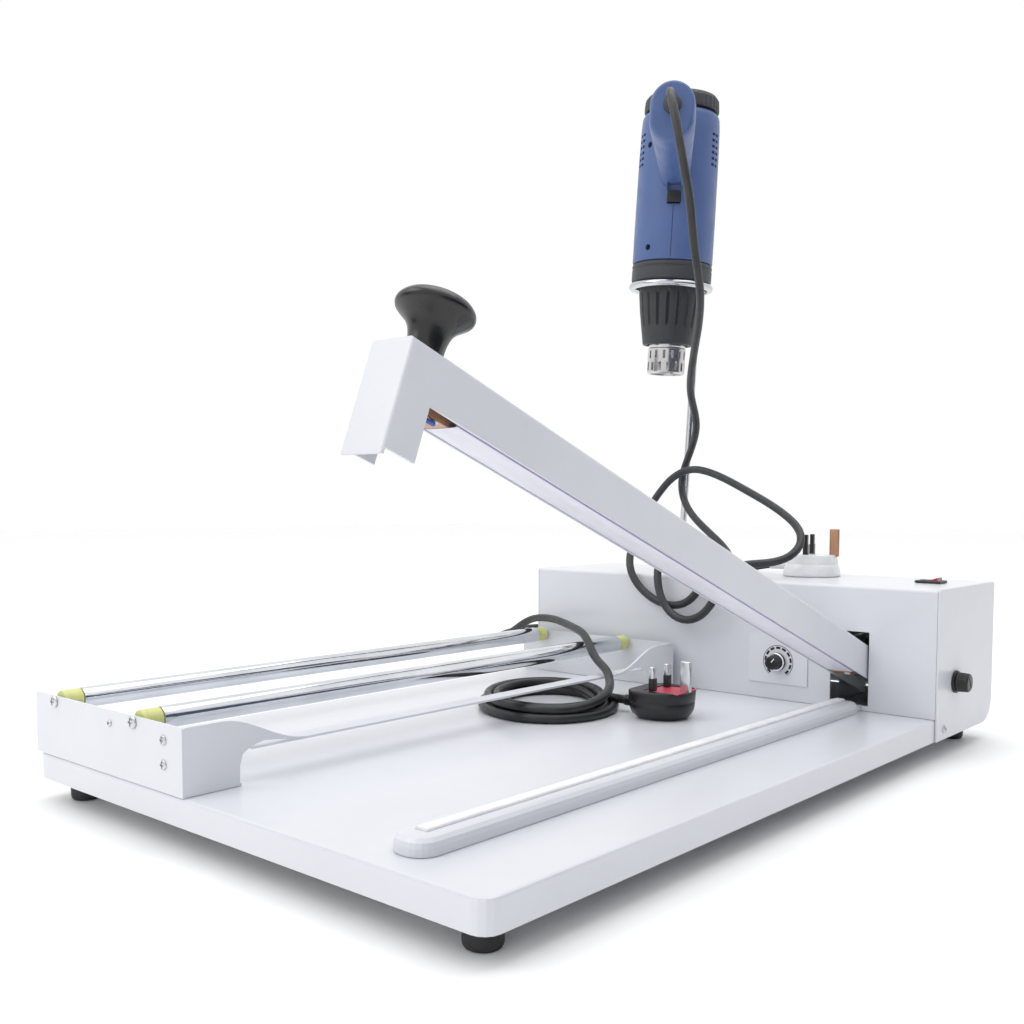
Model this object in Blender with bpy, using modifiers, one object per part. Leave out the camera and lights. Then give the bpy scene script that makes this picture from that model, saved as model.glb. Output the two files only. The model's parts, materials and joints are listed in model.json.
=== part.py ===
"""Bench impulse sealer with a swing-down sealing arm, two film rollers and a hot-air gun on a rod stand.

Metres, +Z up, Z = 0 on the bench.  Design dimensions below are millimetres in the sealer's own
layout frame: X = 0 on the outer face of the right side panel (left is negative), Y = 0 on the front
edge of the base, Z = 0 on top of the base.  The empty "layout" carries that frame into the world.
"""
import math

import bmesh
import bpy
from mathutils import Matrix, Vector

# ---------------------------------------------------------------- driving dimensions (mm)
LAYOUT_X = 195.25        # world X of the layout frame: centres the whole object
LAYOUT_Y = -312.6        # world Y of the layout frame
BASE_LEFT, BASE_RIGHT = -402.0, -1.5
BASE_DEPTH, BASE_T, BASE_SHEET, BASE_CORNER = 620.0, 16.5, 1.5, 9.0
FOOT_R, FOOT_H, FOOT_IN = 10.0, 15.0, 22.0
HOUSE_LEFT, HOUSE_FRONT, HOUSE_BACK, HOUSE_TOP, SHEET = -392.0, 500.0, 624.0, 98.8, 1.2
SLOT = (-85.7, -53.8, 4.0, 62.6)          # x0, x1, z0, z1 of the arm slot
ARM_X, PIVOT_Y, PIVOT_Z = -69.4, 541.0, 24.6
ARM_HALF, ARM_DEPTH_HALF, ARM_SHEET = 14.0, 12.5, 1.5
ARM_FRONT, ARM_TAIL, ARM_OPEN = -571.0, 24.0, 20.6    # lengths from the pivot, open angle in degrees
HOOK_LEN, HOOK_DROP = 20.0, 40.0
KNOB_AT = 551.0                           # distance of the lift knob from the pivot
RAIL_HALF, RAIL_FRONT, RAIL_BACK, RAIL_TOP = 13.0, 16.0, 486.0, 9.4
BRACKET_RIGHT, BRACKET_TOP, BRACKET_SHEET = -228.6, 39.5, 1.5
REAR_PLATE = 490.0
ROLLER_X = (-376.0, -280.0)
ROLLER_Z, ROLLER_R = 37.0, 7.0
DIAL_X, DIAL_Z = -131.0, 32.1
ROCKER = (-33.0, 570.5)
FUSE_Y, FUSE_Z = 537.0, 25.5
RING_X, RING_Y, RING_Z, RING_R = -301.5, 592.1, 373.5, 37.5   # centre of the stand's ring, and its radius
ROD_R, ROD_X, ROD_Y, LEAN = 3.25, 8.8, 36.4, 3.5              # rod radius, rod line from the ring's centre, lean in degrees
HANDLE_TURN = 30.0                        # degrees the gun handle is turned from straight forward
CORD_R = 3.5
mm = 0.001

# ---------------------------------------------------------------- clean start
for obj in list(bpy.data.objects):
    bpy.data.objects.remove(obj, do_unlink=True)
for coll in list(bpy.data.collections):
    bpy.data.collections.remove(coll)
parts = bpy.data.collections.new("impulse_sealer")
cutters = bpy.data.collections.new("cutters")
bpy.context.scene.collection.children.link(parts)
bpy.context.scene.collection.children.link(cutters)


def material(name, colour, roughness, metallic=0.0):
    mat = bpy.data.materials.new(name)
    mat.use_nodes = True
    shader = mat.node_tree.nodes["Principled BSDF"]
    shader.inputs["Base Color"].default_value = (*colour, 1.0)
    shader.inputs["Roughness"].default_value = roughness
    shader.inputs["Metallic"].default_value = metallic
    mat.diffuse_color = (*colour, 1.0)
    return mat


WHITE = ((0.86, 0.87, 0.89), 0.35)
ZINC = ((0.62, 0.64, 0.66), 0.35, 1.0)
CHROME = ((0.86, 0.87, 0.89), 0.08, 1.0)
BLACK = ((0.02, 0.02, 0.022), 0.45)


def empty(name, location, rotation=(0, 0, 0), parent=None):
    obj = bpy.data.objects.new(name, None)
    obj.location = [c * mm for c in location]
    obj.rotation_euler = [math.radians(a) for a in rotation]
    obj.parent = parent
    obj.empty_display_size = 0.02
    parts.objects.link(obj)
    return obj


layout = empty("layout", (LAYOUT_X, LAYOUT_Y, BASE_T + FOOT_H))
arm_pivot = empty("arm_pivot", (ARM_X, PIVOT_Y, PIVOT_Z), (-ARM_OPEN, 0, 0), layout)
stand_frame = empty("stand_frame", (RING_X, RING_Y, RING_Z), (0, LEAN, 0), layout)


def finish(obj, look, origin=(0, 0, 0), parent=None, smooth=40.0, where=parts):
    """Puts a mesh drawn in millimetres of its parent's frame on its own origin, in metres."""
    obj.data.transform(Matrix.Scale(mm, 4) @ Matrix.Translation([-c for c in origin]))
    obj.location = [c * mm for c in origin]
    obj.parent = parent or layout
    if look:
        obj.data.materials.append(material(obj.name, *look))
    if smooth:
        obj.data.shade_smooth()
        obj.data.set_sharp_from_angle(angle=math.radians(smooth))
    where.objects.link(obj)
    return obj


def from_bmesh(name, bm):
    bmesh.ops.recalc_face_normals(bm, faces=bm.faces)
    mesh = bpy.data.meshes.new(name)
    bm.to_mesh(mesh)
    bm.free()
    return bpy.data.objects.new(name, mesh)


def edge_along(edge, axis):
    run = (edge.verts[1].co - edge.verts[0].co).normalized()
    return abs(abs(run[axis]) - 1.0) < 1e-4


def bevel_where(bm, test, width, segments):
    edges = [e for e in bm.edges if test(e)]
    bmesh.ops.bevel(bm, geom=edges, offset=width, segments=segments, profile=0.5, affect="EDGES", clamp_overlap=True)


def block(name, x0, x1, y0, y1, z0, z1, rounds=()):
    """A box; rounds is a list of (test, width, segments) bevels made one after another."""
    bm = bmesh.new()
    bmesh.ops.create_cube(bm, size=1.0)
    for v in bm.verts:
        v.co = ((x0 + x1) / 2 + v.co.x * (x1 - x0), (y0 + y1) / 2 + v.co.y * (y1 - y0), (z0 + z1) / 2 + v.co.z * (z1 - z0))
    for test, width, segments in rounds:
        bevel_where(bm, test, width, segments)
    return from_bmesh(name, bm)


AXES = {"x": Matrix.Rotation(math.pi / 2, 4, "Y"), "y": Matrix.Rotation(-math.pi / 2, 4, "X"), "z": Matrix.Identity(4)}


def rod(name, axis, centre, radius, start, end, sides=24, tip=None):
    """A cylinder along an axis from start to end; centre gives the other two coordinates."""
    bm = bmesh.new()
    bmesh.ops.create_cone(bm, cap_ends=True, segments=sides, radius1=radius, radius2=tip or radius, depth=end - start)
    bmesh.ops.transform(bm, matrix=AXES[axis], verts=bm.verts)
    middle = (start + end) / 2
    at = {"x": (middle, centre[0], centre[1]), "y": (centre[0], middle, centre[1]), "z": (centre[0], centre[1], middle)}[axis]
    bmesh.ops.translate(bm, vec=at, verts=bm.verts)
    return from_bmesh(name, bm)


def lathe(name, profile, steps=28, to=None):
    """Turns a profile of (radius, height) pairs, given top to bottom, about Z with a Screw modifier, then bakes it."""
    mesh = bpy.data.meshes.new(name)
    mesh.from_pydata([(r, 0.0, z) for r, z in profile], [(i, i + 1) for i in range(len(profile) - 1)], [])
    obj = bpy.data.objects.new(name, mesh)
    bpy.context.scene.collection.objects.link(obj)
    screw = obj.modifiers.new("Screw", "SCREW")
    screw.steps = screw.render_steps = steps
    screw.use_merge_vertices = True
    screw.merge_threshold = 0.0001
    return bake(obj, to)


def bake(obj, to=None):
    """The evaluated mesh of a curve or modified object as a plain mesh object, caps welded."""
    bpy.context.view_layer.update()
    graph = bpy.context.evaluated_depsgraph_get()
    mesh = bpy.data.meshes.new_from_object(obj.evaluated_get(graph))
    name = obj.name
    bpy.data.objects.remove(obj, do_unlink=True)
    bm = bmesh.new()
    bm.from_mesh(mesh)
    bpy.data.meshes.remove(mesh)
    bmesh.ops.remove_doubles(bm, verts=bm.verts, dist=0.0001)
    if to is not None:
        bmesh.ops.transform(bm, matrix=to, verts=bm.verts)
    return from_bmesh(name, bm)


def outline(name, loops, thickness, to=None):
    """A flat 2D outline, holes included, filled both sides and extruded; drawn in XY about Z = 0."""
    curve = bpy.data.curves.new(name, "CURVE")
    curve.dimensions = "2D"
    curve.fill_mode = "BOTH"
    curve.extrude = thickness / 2
    for loop in loops:
        spline = curve.splines.new("POLY")
        spline.points.add(len(loop) - 1)
        for point, (x, y) in zip(spline.points, loop):
            point.co = (x, y, 0.0, 1.0)
        spline.use_cyclic_u = True
    obj = bpy.data.objects.new(name, curve)
    bpy.context.scene.collection.objects.link(obj)
    return bake(obj, to)


def tube(name, points, radius, resolution=2, closed=False):
    """A round bar or cable: a POLY curve with a bevel and filled caps, as a mesh."""
    curve = bpy.data.curves.new(name, "CURVE")
    curve.dimensions = "3D"
    curve.bevel_depth = radius
    curve.bevel_resolution = resolution
    curve.use_fill_caps = True
    spline = curve.splines.new("POLY")
    spline.points.add(len(points) - 1)
    for point, co in zip(spline.points, points):
        point.co = (*co, 1.0)
    spline.use_cyclic_u = closed
    obj = bpy.data.objects.new(name, curve)
    bpy.context.scene.collection.objects.link(obj)
    return bake(obj)


def arc(cx, cy, radius, a0, a1, count):
    return [(cx + radius * math.cos(math.radians(a0 + (a1 - a0) * i / (count - 1))), cy + radius * math.sin(math.radians(a0 + (a1 - a0) * i / (count - 1)))) for i in range(count)]


def boolean(obj, others, operation="DIFFERENCE"):
    """Cuts or joins shapes drawn in the same millimetre frame and bakes the result into obj."""
    bpy.context.scene.collection.objects.link(obj)
    for other in others:
        bpy.context.scene.collection.objects.link(other)
        mod = obj.modifiers.new("Boolean", "BOOLEAN")
        mod.operation = operation
        mod.solver = "EXACT"
        mod.object = other
    bpy.context.view_layer.update()
    graph = bpy.context.evaluated_depsgraph_get()
    mesh = bpy.data.meshes.new_from_object(obj.evaluated_get(graph))
    name = obj.name
    for other in others:
        bpy.data.objects.remove(other, do_unlink=True)
    bpy.data.objects.remove(obj, do_unlink=True)
    bm = bmesh.new()
    bm.from_mesh(mesh)
    bpy.data.meshes.remove(mesh)
    bmesh.ops.remove_doubles(bm, verts=bm.verts, dist=0.0001)
    bmesh.ops.dissolve_degenerate(bm, dist=0.0001, edges=bm.edges)
    new = bpy.data.meshes.new(name)
    bm.to_mesh(new)
    bm.free()
    return bpy.data.objects.new(name, new)


def live_cut(obj, cutter):
    """Keeps a cutter as a Boolean modifier on a finished part; the cutter sits in the cutters collection."""
    finish(cutter, None, parent=obj.parent, smooth=0, where=cutters)
    cutter.hide_render = True
    cutter.display_type = "WIRE"
    mod = obj.modifiers.new("Cut " + cutter.name, "BOOLEAN")
    mod.operation = "DIFFERENCE"
    mod.solver = "EXACT"
    mod.object = cutter


def low(z):
    return lambda e: e.verts[0].co.z < z and e.verts[1].co.z < z


def high(z):
    return lambda e: e.verts[0].co.z > z and e.verts[1].co.z > z


def upright(e):
    return edge_along(e, 2)


# ---------------------------------------------------------------- base: folded pan, closing plate, feet
pan = block("base_plate", BASE_LEFT, BASE_RIGHT, 0, BASE_DEPTH, -BASE_T, 0, [(upright, BASE_CORNER, 4), (high(-0.1), 1.6, 2)])
finish(pan, WHITE)
live_cut(pan, block("base_hollow", BASE_LEFT + BASE_SHEET, BASE_RIGHT - BASE_SHEET, BASE_SHEET, BASE_DEPTH - BASE_SHEET, -BASE_T - 5, -BASE_SHEET, [(upright, BASE_CORNER - BASE_SHEET, 4)]))
inset = BASE_SHEET + 0.4
finish(block("base_closing_plate", BASE_LEFT + inset, BASE_RIGHT - inset, inset, BASE_DEPTH - inset, -BASE_T, -BASE_T + 1.2, [(upright, BASE_CORNER - inset, 4)]), ZINC)
for name, x, y in (("foot_front_left", BASE_LEFT + FOOT_IN, FOOT_IN), ("foot_front_right", BASE_RIGHT - FOOT_IN, FOOT_IN), ("foot_rear_left", BASE_LEFT + FOOT_IN, BASE_DEPTH - FOOT_IN), ("foot_rear_right", BASE_RIGHT - FOOT_IN, BASE_DEPTH - FOOT_IN)):
    foot = lathe(name, [(0, -0.3), (FOOT_R, -0.3), (FOOT_R - 0.6, -FOOT_H + 1.4), (FOOT_R - 1.8, -FOOT_H), (0, -FOOT_H)], 20, Matrix.Translation((x, y, -BASE_T)))
    finish(foot, ((0.03, 0.03, 0.032), 0.75), origin=(x, y, -BASE_T))

# ---------------------------------------------------------------- housing: folded cover, two side panels, back plate
fold = lambda e: edge_along(e, 0) and e.verts[0].co.y < HOUSE_FRONT + 3 and e.verts[0].co.z > 90
cover = block("housing_cover", HOUSE_LEFT + 1.5, -1.5, HOUSE_FRONT, HOUSE_BACK - 1.5, 0.3, HOUSE_TOP, [(fold, 2.6, 4)])
inner = block("cover_inner", HOUSE_LEFT - 9, 9, HOUSE_FRONT + SHEET, HOUSE_BACK + 9, -9, HOUSE_TOP - SHEET, [(fold, 1.4, 4)])
slot = block("arm_slot", SLOT[0], SLOT[1], HOUSE_FRONT - 6, HOUSE_FRONT + 6, SLOT[2], SLOT[3])
dial_hole = rod("dial_hole", "y", (DIAL_X, DIAL_Z), 4.2, HOUSE_FRONT - 5, HOUSE_FRONT + 5, 16)
rocker_hole = block("rocker_hole", ROCKER[0] - 9.8, ROCKER[0] + 9.8, ROCKER[1] - 6.8, ROCKER[1] + 6.8, HOUSE_TOP - 5, HOUSE_TOP + 5)
finish(boolean(cover, [inner, slot, dial_hole, rocker_hole]), WHITE)

right = [(HOUSE_FRONT, -BASE_T)] + arc(HOUSE_BACK - 20, -BASE_T + 20, 20, -90, 0, 7) + arc(HOUSE_BACK - 3, HOUSE_TOP - 3, 3, 0, 90, 4) + arc(HOUSE_FRONT + 2.6, HOUSE_TOP - 2.6, 2.6, 90, 180, 4)
to_yz = lambda x: Matrix.Translation((x, 0, 0)) @ Matrix(((0, 0, 1, 0), (1, 0, 0, 0), (0, 1, 0, 0), (0, 0, 0, 1)))
finish(outline("side_panel_right", [right, arc(FUSE_Y, FUSE_Z, 6.4, 360, 15, 24)], SHEET, to_yz(-SHEET / 2)), WHITE, smooth=0)
GLAND_Y, GLAND_Z = 560.0, 33.0
left = [(HOUSE_FRONT, 0.3), (HOUSE_BACK, 0.3)] + arc(HOUSE_BACK - 3, HOUSE_TOP - 3, 3, 0, 90, 4) + arc(HOUSE_FRONT + 2.6, HOUSE_TOP - 2.6, 2.6, 90, 180, 4)
finish(outline("side_panel_left", [left, arc(GLAND_Y, GLAND_Z, 6.2, 360, 15, 24)], SHEET, to_yz(HOUSE_LEFT + SHEET / 2)), WHITE, smooth=0)
back = block("back_plate", HOUSE_LEFT + 1.5, -1.5, HOUSE_BACK - SHEET, HOUSE_BACK, 0.3, HOUSE_TOP)
louvres = [block("louvre_%d" % i, -200 + 12 * i, -196 + 12 * i, HOUSE_BACK - 6, HOUSE_BACK + 6, 52, 78, [(lambda e: edge_along(e, 1), 1.9, 2)]) for i in range(8)]
finish(boolean(back, louvres), WHITE)

# ---------------------------------------------------------------- inside: transformer, timer board, terminal block
core = block("transformer_core", -300, -230, 542, 588, 0.3, 62, [(lambda e: edge_along(e, 1), 2, 1)])
core_windows = [block("window_left", -288.5, -275.5, 530, 600, 15, 50), block("window_right", -254.5, -241.5, 530, 600, 15, 50)]
finish(boolean(core, core_windows), ((0.16, 0.15, 0.14), 0.55, 0.6))
coil_body = block("transformer_coil", -287.8, -242.2, 533, 597, 15.6, 49.4, [(upright, 8, 4)])
finish(boolean(coil_body, [block("coil_core_hole", -275.9, -254.1, 541.6, 588.4, 0, 70)]), ((0.62, 0.30, 0.10), 0.45))
board = block("timer_board", -166, -98, 513, 514.6, 8, 78)
relay = block("relay", -160, -140, 514, 530, 40, 66)
capacitor = rod("capacitor", "y", (-112, 60), 6, 514, 534, 16)
finish(boolean(board, [relay, capacitor], "UNION"), ((0.05, 0.20, 0.10), 0.5))
pot = rod("timer_potentiometer", "y", (DIAL_X, DIAL_Z), 8, 501.6, 512.6, 20)
pot = boolean(pot, [rod("pot_bush", "y", (DIAL_X, DIAL_Z), 3.7, 496.0, 503, 16), rod("pot_shaft", "y", (DIAL_X, DIAL_Z), 2.9, 488.0, 503, 16)], "UNION")
finish(pot, ZINC, origin=(DIAL_X, 507, DIAL_Z))
finish(block("terminal_block", -372, -318, 552, 572, 0.3, 18, [(high(17), 2, 2)]), ((0.80, 0.80, 0.76), 0.5))

# ---------------------------------------------------------------- front panel: dial plate and timer knob
dial = outline("dial_plate", [[(-158, 13.6), (-105, 13.6), (-105, 55.0), (-158, 55.0)], arc(DIAL_X, DIAL_Z, 4.2, 360, 15, 24)], 0.8, Matrix.Translation((0, 499.3, 0)) @ Matrix.Rotation(math.pi / 2, 4, "X"))
finish(dial, ((0.72, 0.73, 0.80), 0.4), smooth=0)
knob_turn = Matrix.Translation((DIAL_X, 497.4, DIAL_Z)) @ Matrix.Rotation(math.pi / 2, 4, "X")
knob = lathe("timer_knob", [(0, 12.0), (4.6, 12.0), (5.6, 11.0), (6.1, 3.0), (7.6, 2.4), (7.6, 0.0), (4.1, 0.0), (4.1, 1.6), (3.2, 1.6), (3.2, 10.2), (0, 10.2)], 24, knob_turn)
finish(knob, BLACK, origin=(DIAL_X, 497.4, DIAL_Z))

# ---------------------------------------------------------------- top: rocker switch
RX, RY = ROCKER
bezel = boolean(block("switch_bezel", RX - 10.5, RX + 10.5, RY - 7.5, RY + 7.5, HOUSE_TOP + 0.3, HOUSE_TOP + 2.3, [(high(HOUSE_TOP + 2.2), 0.8, 2)]), [block("switch_body", RX - 9.4, RX + 9.4, RY - 6.4, RY + 6.4, HOUSE_TOP - 22, HOUSE_TOP + 1)], "UNION")
bezel = boolean(bezel, [block("rocker_well", RX - 8.4, RX + 8.4, RY - 5.4, RY + 5.4, HOUSE_TOP - 7, HOUSE_TOP + 9)])
finish(bezel, BLACK)
ROCK_Z = HOUSE_TOP + 0.6
rock = [(-7.6, -0.6), (-3.0, -4.6), (3.0, -4.6), (7.6, -0.6), (7.6, 2.7), (0.0, 1.5), (-7.6, 2.7)]
rocker = outline("power_rocker", [rock], 10.0, Matrix.Translation((RX, RY, ROCK_Z)) @ Matrix.Rotation(math.radians(-12), 4, "Y") @ Matrix.Rotation(math.pi / 2, 4, "X"))
finish(rocker, ((0.55, 0.02, 0.03), 0.3), origin=(RX, RY, ROCK_Z), smooth=0)

# ---------------------------------------------------------------- right side: fuse holder and cap
to_x = lambda x: Matrix.Translation((x, FUSE_Y, FUSE_Z)) @ Matrix.Rotation(math.pi / 2, 4, "Y")
holder = lathe("fuse_holder", [(3.9, 2.2), (8.4, 2.2), (8.8, 1.8), (8.8, 0.3), (6.0, 0.3), (6.0, -30.0), (0, -30.0), (0, -28.0), (3.9, -28.0), (3.9, 2.2)], 24, to_x(0))
finish(holder, BLACK)
cap = lathe("fuse_cap", [(0, 11.5), (6.2, 11.5), (7.2, 10.6), (7.6, 2.5), (3.4, 2.5), (3.4, -14.0), (0, -14.0)], 24, to_x(0))
finish(cap, BLACK, origin=(0, FUSE_Y, FUSE_Z))

# ---------------------------------------------------------------- arm hinge inside the housing
bracket = block("hinge_bracket", ARM_X - 20, ARM_X + 20, 512, 578, 0.3, 53)
hollow = block("bracket_hollow", ARM_X - 18, ARM_X + 18, 500, 600, 2.3, 70)
steps = [block("bracket_front", ARM_X - 30, ARM_X + 30, 500, 525, 2.3, 70), block("bracket_rear", ARM_X - 30, ARM_X + 30, 568.5, 600, 2.3, 70), rod("bracket_bore", "x", (PIVOT_Y, PIVOT_Z), 4.35, ARM_X - 30, ARM_X + 30, 20)]
finish(boolean(bracket, [hollow] + steps), ZINC)
finish(rod("pivot_shaft", "x", (PIVOT_Y, PIVOT_Z), 4.0, ARM_X - 24, ARM_X + 24, 24), ZINC, origin=(ARM_X, PIVOT_Y, PIVOT_Z))
turns, per_turn, spring_r, wire_r = 4, 14, 6.6, 0.9
coil = [(ARM_X - 5 + 2.6 * i / per_turn, PIVOT_Y + spring_r * math.cos(2 * math.pi * i / per_turn - math.pi / 2), PIVOT_Z + spring_r * math.sin(2 * math.pi * i / per_turn - math.pi / 2)) for i in range(turns * per_turn + 1)]
last = coil[-1]
coil += [(last[0] + 0.2, last[1] + 4.0, last[2] - 0.6), (last[0] + 0.2, last[1] + 9.0, last[2] - 5.0), (last[0] + 0.2, last[1] + 12.0, 4.0)]
finish(tube("return_spring", coil, wire_r, 1), ZINC)
switch_x = (ARM_X - 11, ARM_X + 17.6)
micro = boolean(block("microswitch", switch_x[0], switch_x[1], 554, 566, 39.6, 51.6, [(lambda e: edge_along(e, 1), 1, 1)]), [rod("plunger_bore", "z", (ARM_X, 560), 2.2, 30, 47, 16)])
finish(micro, ((0.06, 0.06, 0.07), 0.5))
finish(rod("microswitch_plunger", "z", (ARM_X, 560), 1.7, 36.2, 44.0, 16), ((0.5, 0.05, 0.04), 0.4), origin=(ARM_X, 560, 36.2))

# ---------------------------------------------------------------- sealing arm (frame of arm_pivot: Y along the arm, rear positive)
front_edges = lambda e: e.verts[0].co.y < ARM_FRONT + 5 and e.verts[1].co.y < ARM_FRONT + 5
D = ARM_DEPTH_HALF
side = [(ARM_FRONT, D), (ARM_FRONT, -HOOK_DROP - 3.0), (ARM_FRONT + 1.6, -HOOK_DROP - 3.0), (ARM_FRONT + 1.6, -HOOK_DROP), (ARM_FRONT + HOOK_LEN, -HOOK_DROP), (ARM_FRONT + HOOK_LEN, -D), (ARM_TAIL, -D), (ARM_TAIL, D)]
arm = outline("arm_channel", [side], 2 * ARM_HALF, to_yz(0))
bm = bmesh.new()
bm.from_mesh(arm.data)
bpy.data.objects.remove(arm, do_unlink=True)
bevel_where(bm, lambda e: (edge_along(e, 1) and e.verts[0].co.z > D - 0.1) or (edge_along(e, 2) and e.verts[0].co.y < ARM_FRONT + 0.1), 1.8, 3)
arm = from_bmesh("arm_channel", bm)
hollow = block("arm_hollow", -ARM_HALF + ARM_SHEET, ARM_HALF - ARM_SHEET, ARM_FRONT + ARM_SHEET, ARM_TAIL + 9, -80, D - ARM_SHEET)
bore = rod("arm_bore", "x", (0, 0), 4.35, -30, 30, 20)
arm = boolean(arm, [hollow, bore])
finish(arm, WHITE, parent=arm_pivot)
finish(block("seal_bar", -10, 10, -527, -62, -12.1, 10.7, [(lambda e: edge_along(e, 1), 1.0, 1)]), ((0.75, 0.76, 0.78), 0.5), parent=arm_pivot)
finish(block("heating_ribbon", -2.2, 2.2, -529.5, -58.5, -12.7, -12.4), ((0.55, 0.52, 0.48), 0.3, 1.0), parent=arm_pivot)
finish(block("ribbon_clamp_front", -7, 7, -545, -530, -13.8, -2, [(lambda e: edge_along(e, 0), 1.5, 2)]), ((0.75, 0.42, 0.20), 0.35, 1.0), parent=arm_pivot)
finish(block("ribbon_clamp_rear", -7, 7, -57.5, -46, -13.0, -2, [(lambda e: edge_along(e, 0), 1.5, 2)]), ((0.75, 0.42, 0.20), 0.35, 1.0), parent=arm_pivot)
K = -KNOB_AT
top = D + 0.3
profile = [(0, 31.5), (7, 31.3), (13, 30.2), (17.0, 28.2), (19.2, 25.6), (19.7, 23.6), (19.0, 21.8), (16.2, 19.4), (13.0, 16.6), (10.9, 13.4), (9.7, 9.4), (9.2, 5.0), (9.2, 0), (0, 0)]
finish(lathe("arm_knob", [(r, top + h) for r, h in profile], 28, Matrix.Translation((0, K, 0))), ((0.025, 0.025, 0.028), 0.3), origin=(0, K, top), parent=arm_pivot)

# ---------------------------------------------------------------- seal rail and its silicone strip
rail = block("seal_rail", ARM_X - RAIL_HALF, ARM_X + RAIL_HALF, RAIL_FRONT, RAIL_BACK, 0.3, RAIL_TOP, [(lambda e: edge_along(e, 2) and e.verts[0].co.y < RAIL_FRONT + 1, 11.5, 6), (lambda e: high(RAIL_TOP - 0.1)(e) and e.verts[0].co.y + e.verts[1].co.y < 2 * RAIL_BACK - 1, 5.0, 3)])
step = block("rail_step", ARM_X - 10, ARM_X + 10, RAIL_BACK - 2, 499.5, 0.3, 5.0)
rail = boolean(rail, [step], "UNION")
rail = boolean(rail, [block("rail_groove", ARM_X - 4.3, ARM_X + 4.3, 28, 484, 7.0, 20)])
finish(rail, WHITE)
finish(block("silicone_strip", ARM_X - 4.0, ARM_X + 4.0, 28.3, 483.7, 7.3, 11.0, [(lambda e: edge_along(e, 1) and e.verts[0].co.z > 10, 1.2, 2)]), ((0.85, 0.86, 0.88), 0.5))

# ---------------------------------------------------------------- roller brackets
B, L, R, T = BRACKET_SHEET, BASE_LEFT, BRACKET_RIGHT, BRACKET_TOP


def s_curve(y0, z0, y1, z1, count):
    """Points of a smooth step from (y0, z0) to (y1, z1), ends excluded."""
    out = []
    for i in range(1, count):
        t = i / count
        out.append((y0 + (y1 - y0) * t, z0 + (z1 - z0) * (3 * t * t - 2 * t ** 3)))
    return out


at_rear = REAR_PLATE + B - 84.0            # where the rear bracket's horn meets the front bracket's ledge


def roller_bracket(name, plate_y, sign):
    """Upright plate with a hooked side wing and a foot flange; sign is +1 where they reach backwards."""
    def at(y):
        return plate_y + sign * y
    lo, hi = sorted((at(0), at(B)))
    plate = block(name, L, R, lo, hi, 0.3, T, [(lambda e: edge_along(e, 1) and e.verts[0].co.z > T - 0.1, 2.0, 2)])
    ear = [(0.2, 0.6), (37.5, 0.6), (37.5, 12), (39.5, 18.5), (45, 22.0), (54, 24.2), (64, 23.2), (84, 20.3), (84, 22.0)] + s_curve(84, 22.0, 26, T, 10) + [(26, T), (2, T), (0.2, T - 2)]
    ear = [(at(y), z) for y, z in ear]
    wing = outline(name + "_wing", [ear], B, to_yz(R - B / 2))
    y0, y1 = sorted((at(0.2), at(38.5)))
    flange = block(name + "_flange", R - 15, R - 0.1, y0, y1, 0.3, 1.8)
    joined = [wing, flange]
    y0, y1 = (46, at_rear - 0.6) if sign > 0 else (at_rear + 0.3, REAR_PLATE - 44)
    joined.append(block(name + "_ledge", R - 14, R - 0.3, y0, y1, 20.2, 21.6))
    body = boolean(plate, joined, "UNION")
    bores = [rod(name + "_bore_%d" % i, "y", (x, ROLLER_Z - 1.0), 2.4, lo - 5, hi + 5, 12) for i, x in enumerate(ROLLER_X)]
    return finish(boolean(body, bores), WHITE, smooth=30)


roller_bracket("roller_bracket_front", 0.0, 1)
roller_bracket("roller_bracket_rear", REAR_PLATE + B, -1)

# ---------------------------------------------------------------- film rollers: chromed tubes, end bushes, through axles
for tag, x in (("left", ROLLER_X[0]), ("right", ROLLER_X[1])):
    z = ROLLER_Z - 1.0
    tube_mesh = boolean(rod("film_roller_" + tag, "y", (x, z), ROLLER_R, 17, 475, 28), [rod("roller_bore", "y", (x, z), 5.6, 0, 500, 20)])
    finish(tube_mesh, CHROME, origin=(x, 246, z))
    for end, y0, y1, inner_y in (("front", 4.0, 16.7, 24.0), ("rear", 475.3, 487.5, 468.0)):
        shoulder = rod("roller_bush_%s_%s" % (tag, end), "y", (x, z), 6.6, y0, y1, 24)
        spigot = rod("spigot", "y", (x, z), 5.3, min(inner_y, y0 + 1), max(inner_y, y1 - 1), 20)
        bush = boolean(boolean(shoulder, [spigot], "UNION"), [rod("bush_bore", "y", (x, z), 2.4, -5, 500, 12)])
        finish(bush, ((0.72, 0.78, 0.18), 0.45), origin=(x, 246, z))
    axle = rod("roller_axle_" + tag, "y", (x, z), 2.0, -1.0, REAR_PLATE + B + 1.0, 12)
    heads = [rod("head_a", "y", (x, z), 3.9, -2.2, -0.3, 16), rod("head_b", "y", (x, z), 3.9, REAR_PLATE + B + 0.3, REAR_PLATE + B + 2.4, 16)]
    finish(boolean(axle, heads, "UNION"), ZINC)

# ---------------------------------------------------------------- gun stand (frame of stand_frame: Z up the leaning rod, origin at the ring's centre)
ring_arc = [(RING_R * math.sin(2 * math.pi * i / 40), RING_R * math.cos(2 * math.pi * i / 40), 0.0) for i in range(40)]
ring = tube("stand_rod", ring_arc, ROD_R, 2, closed=True)
ROD_BOTTOM = -(RING_Z - 14.0)
stem = rod("stem", "z", (ROD_X, ROD_Y), ROD_R, ROD_BOTTOM, 0.6, 12)
finish(boolean(ring, [stem], "UNION"), CHROME, parent=stand_frame)


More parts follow.
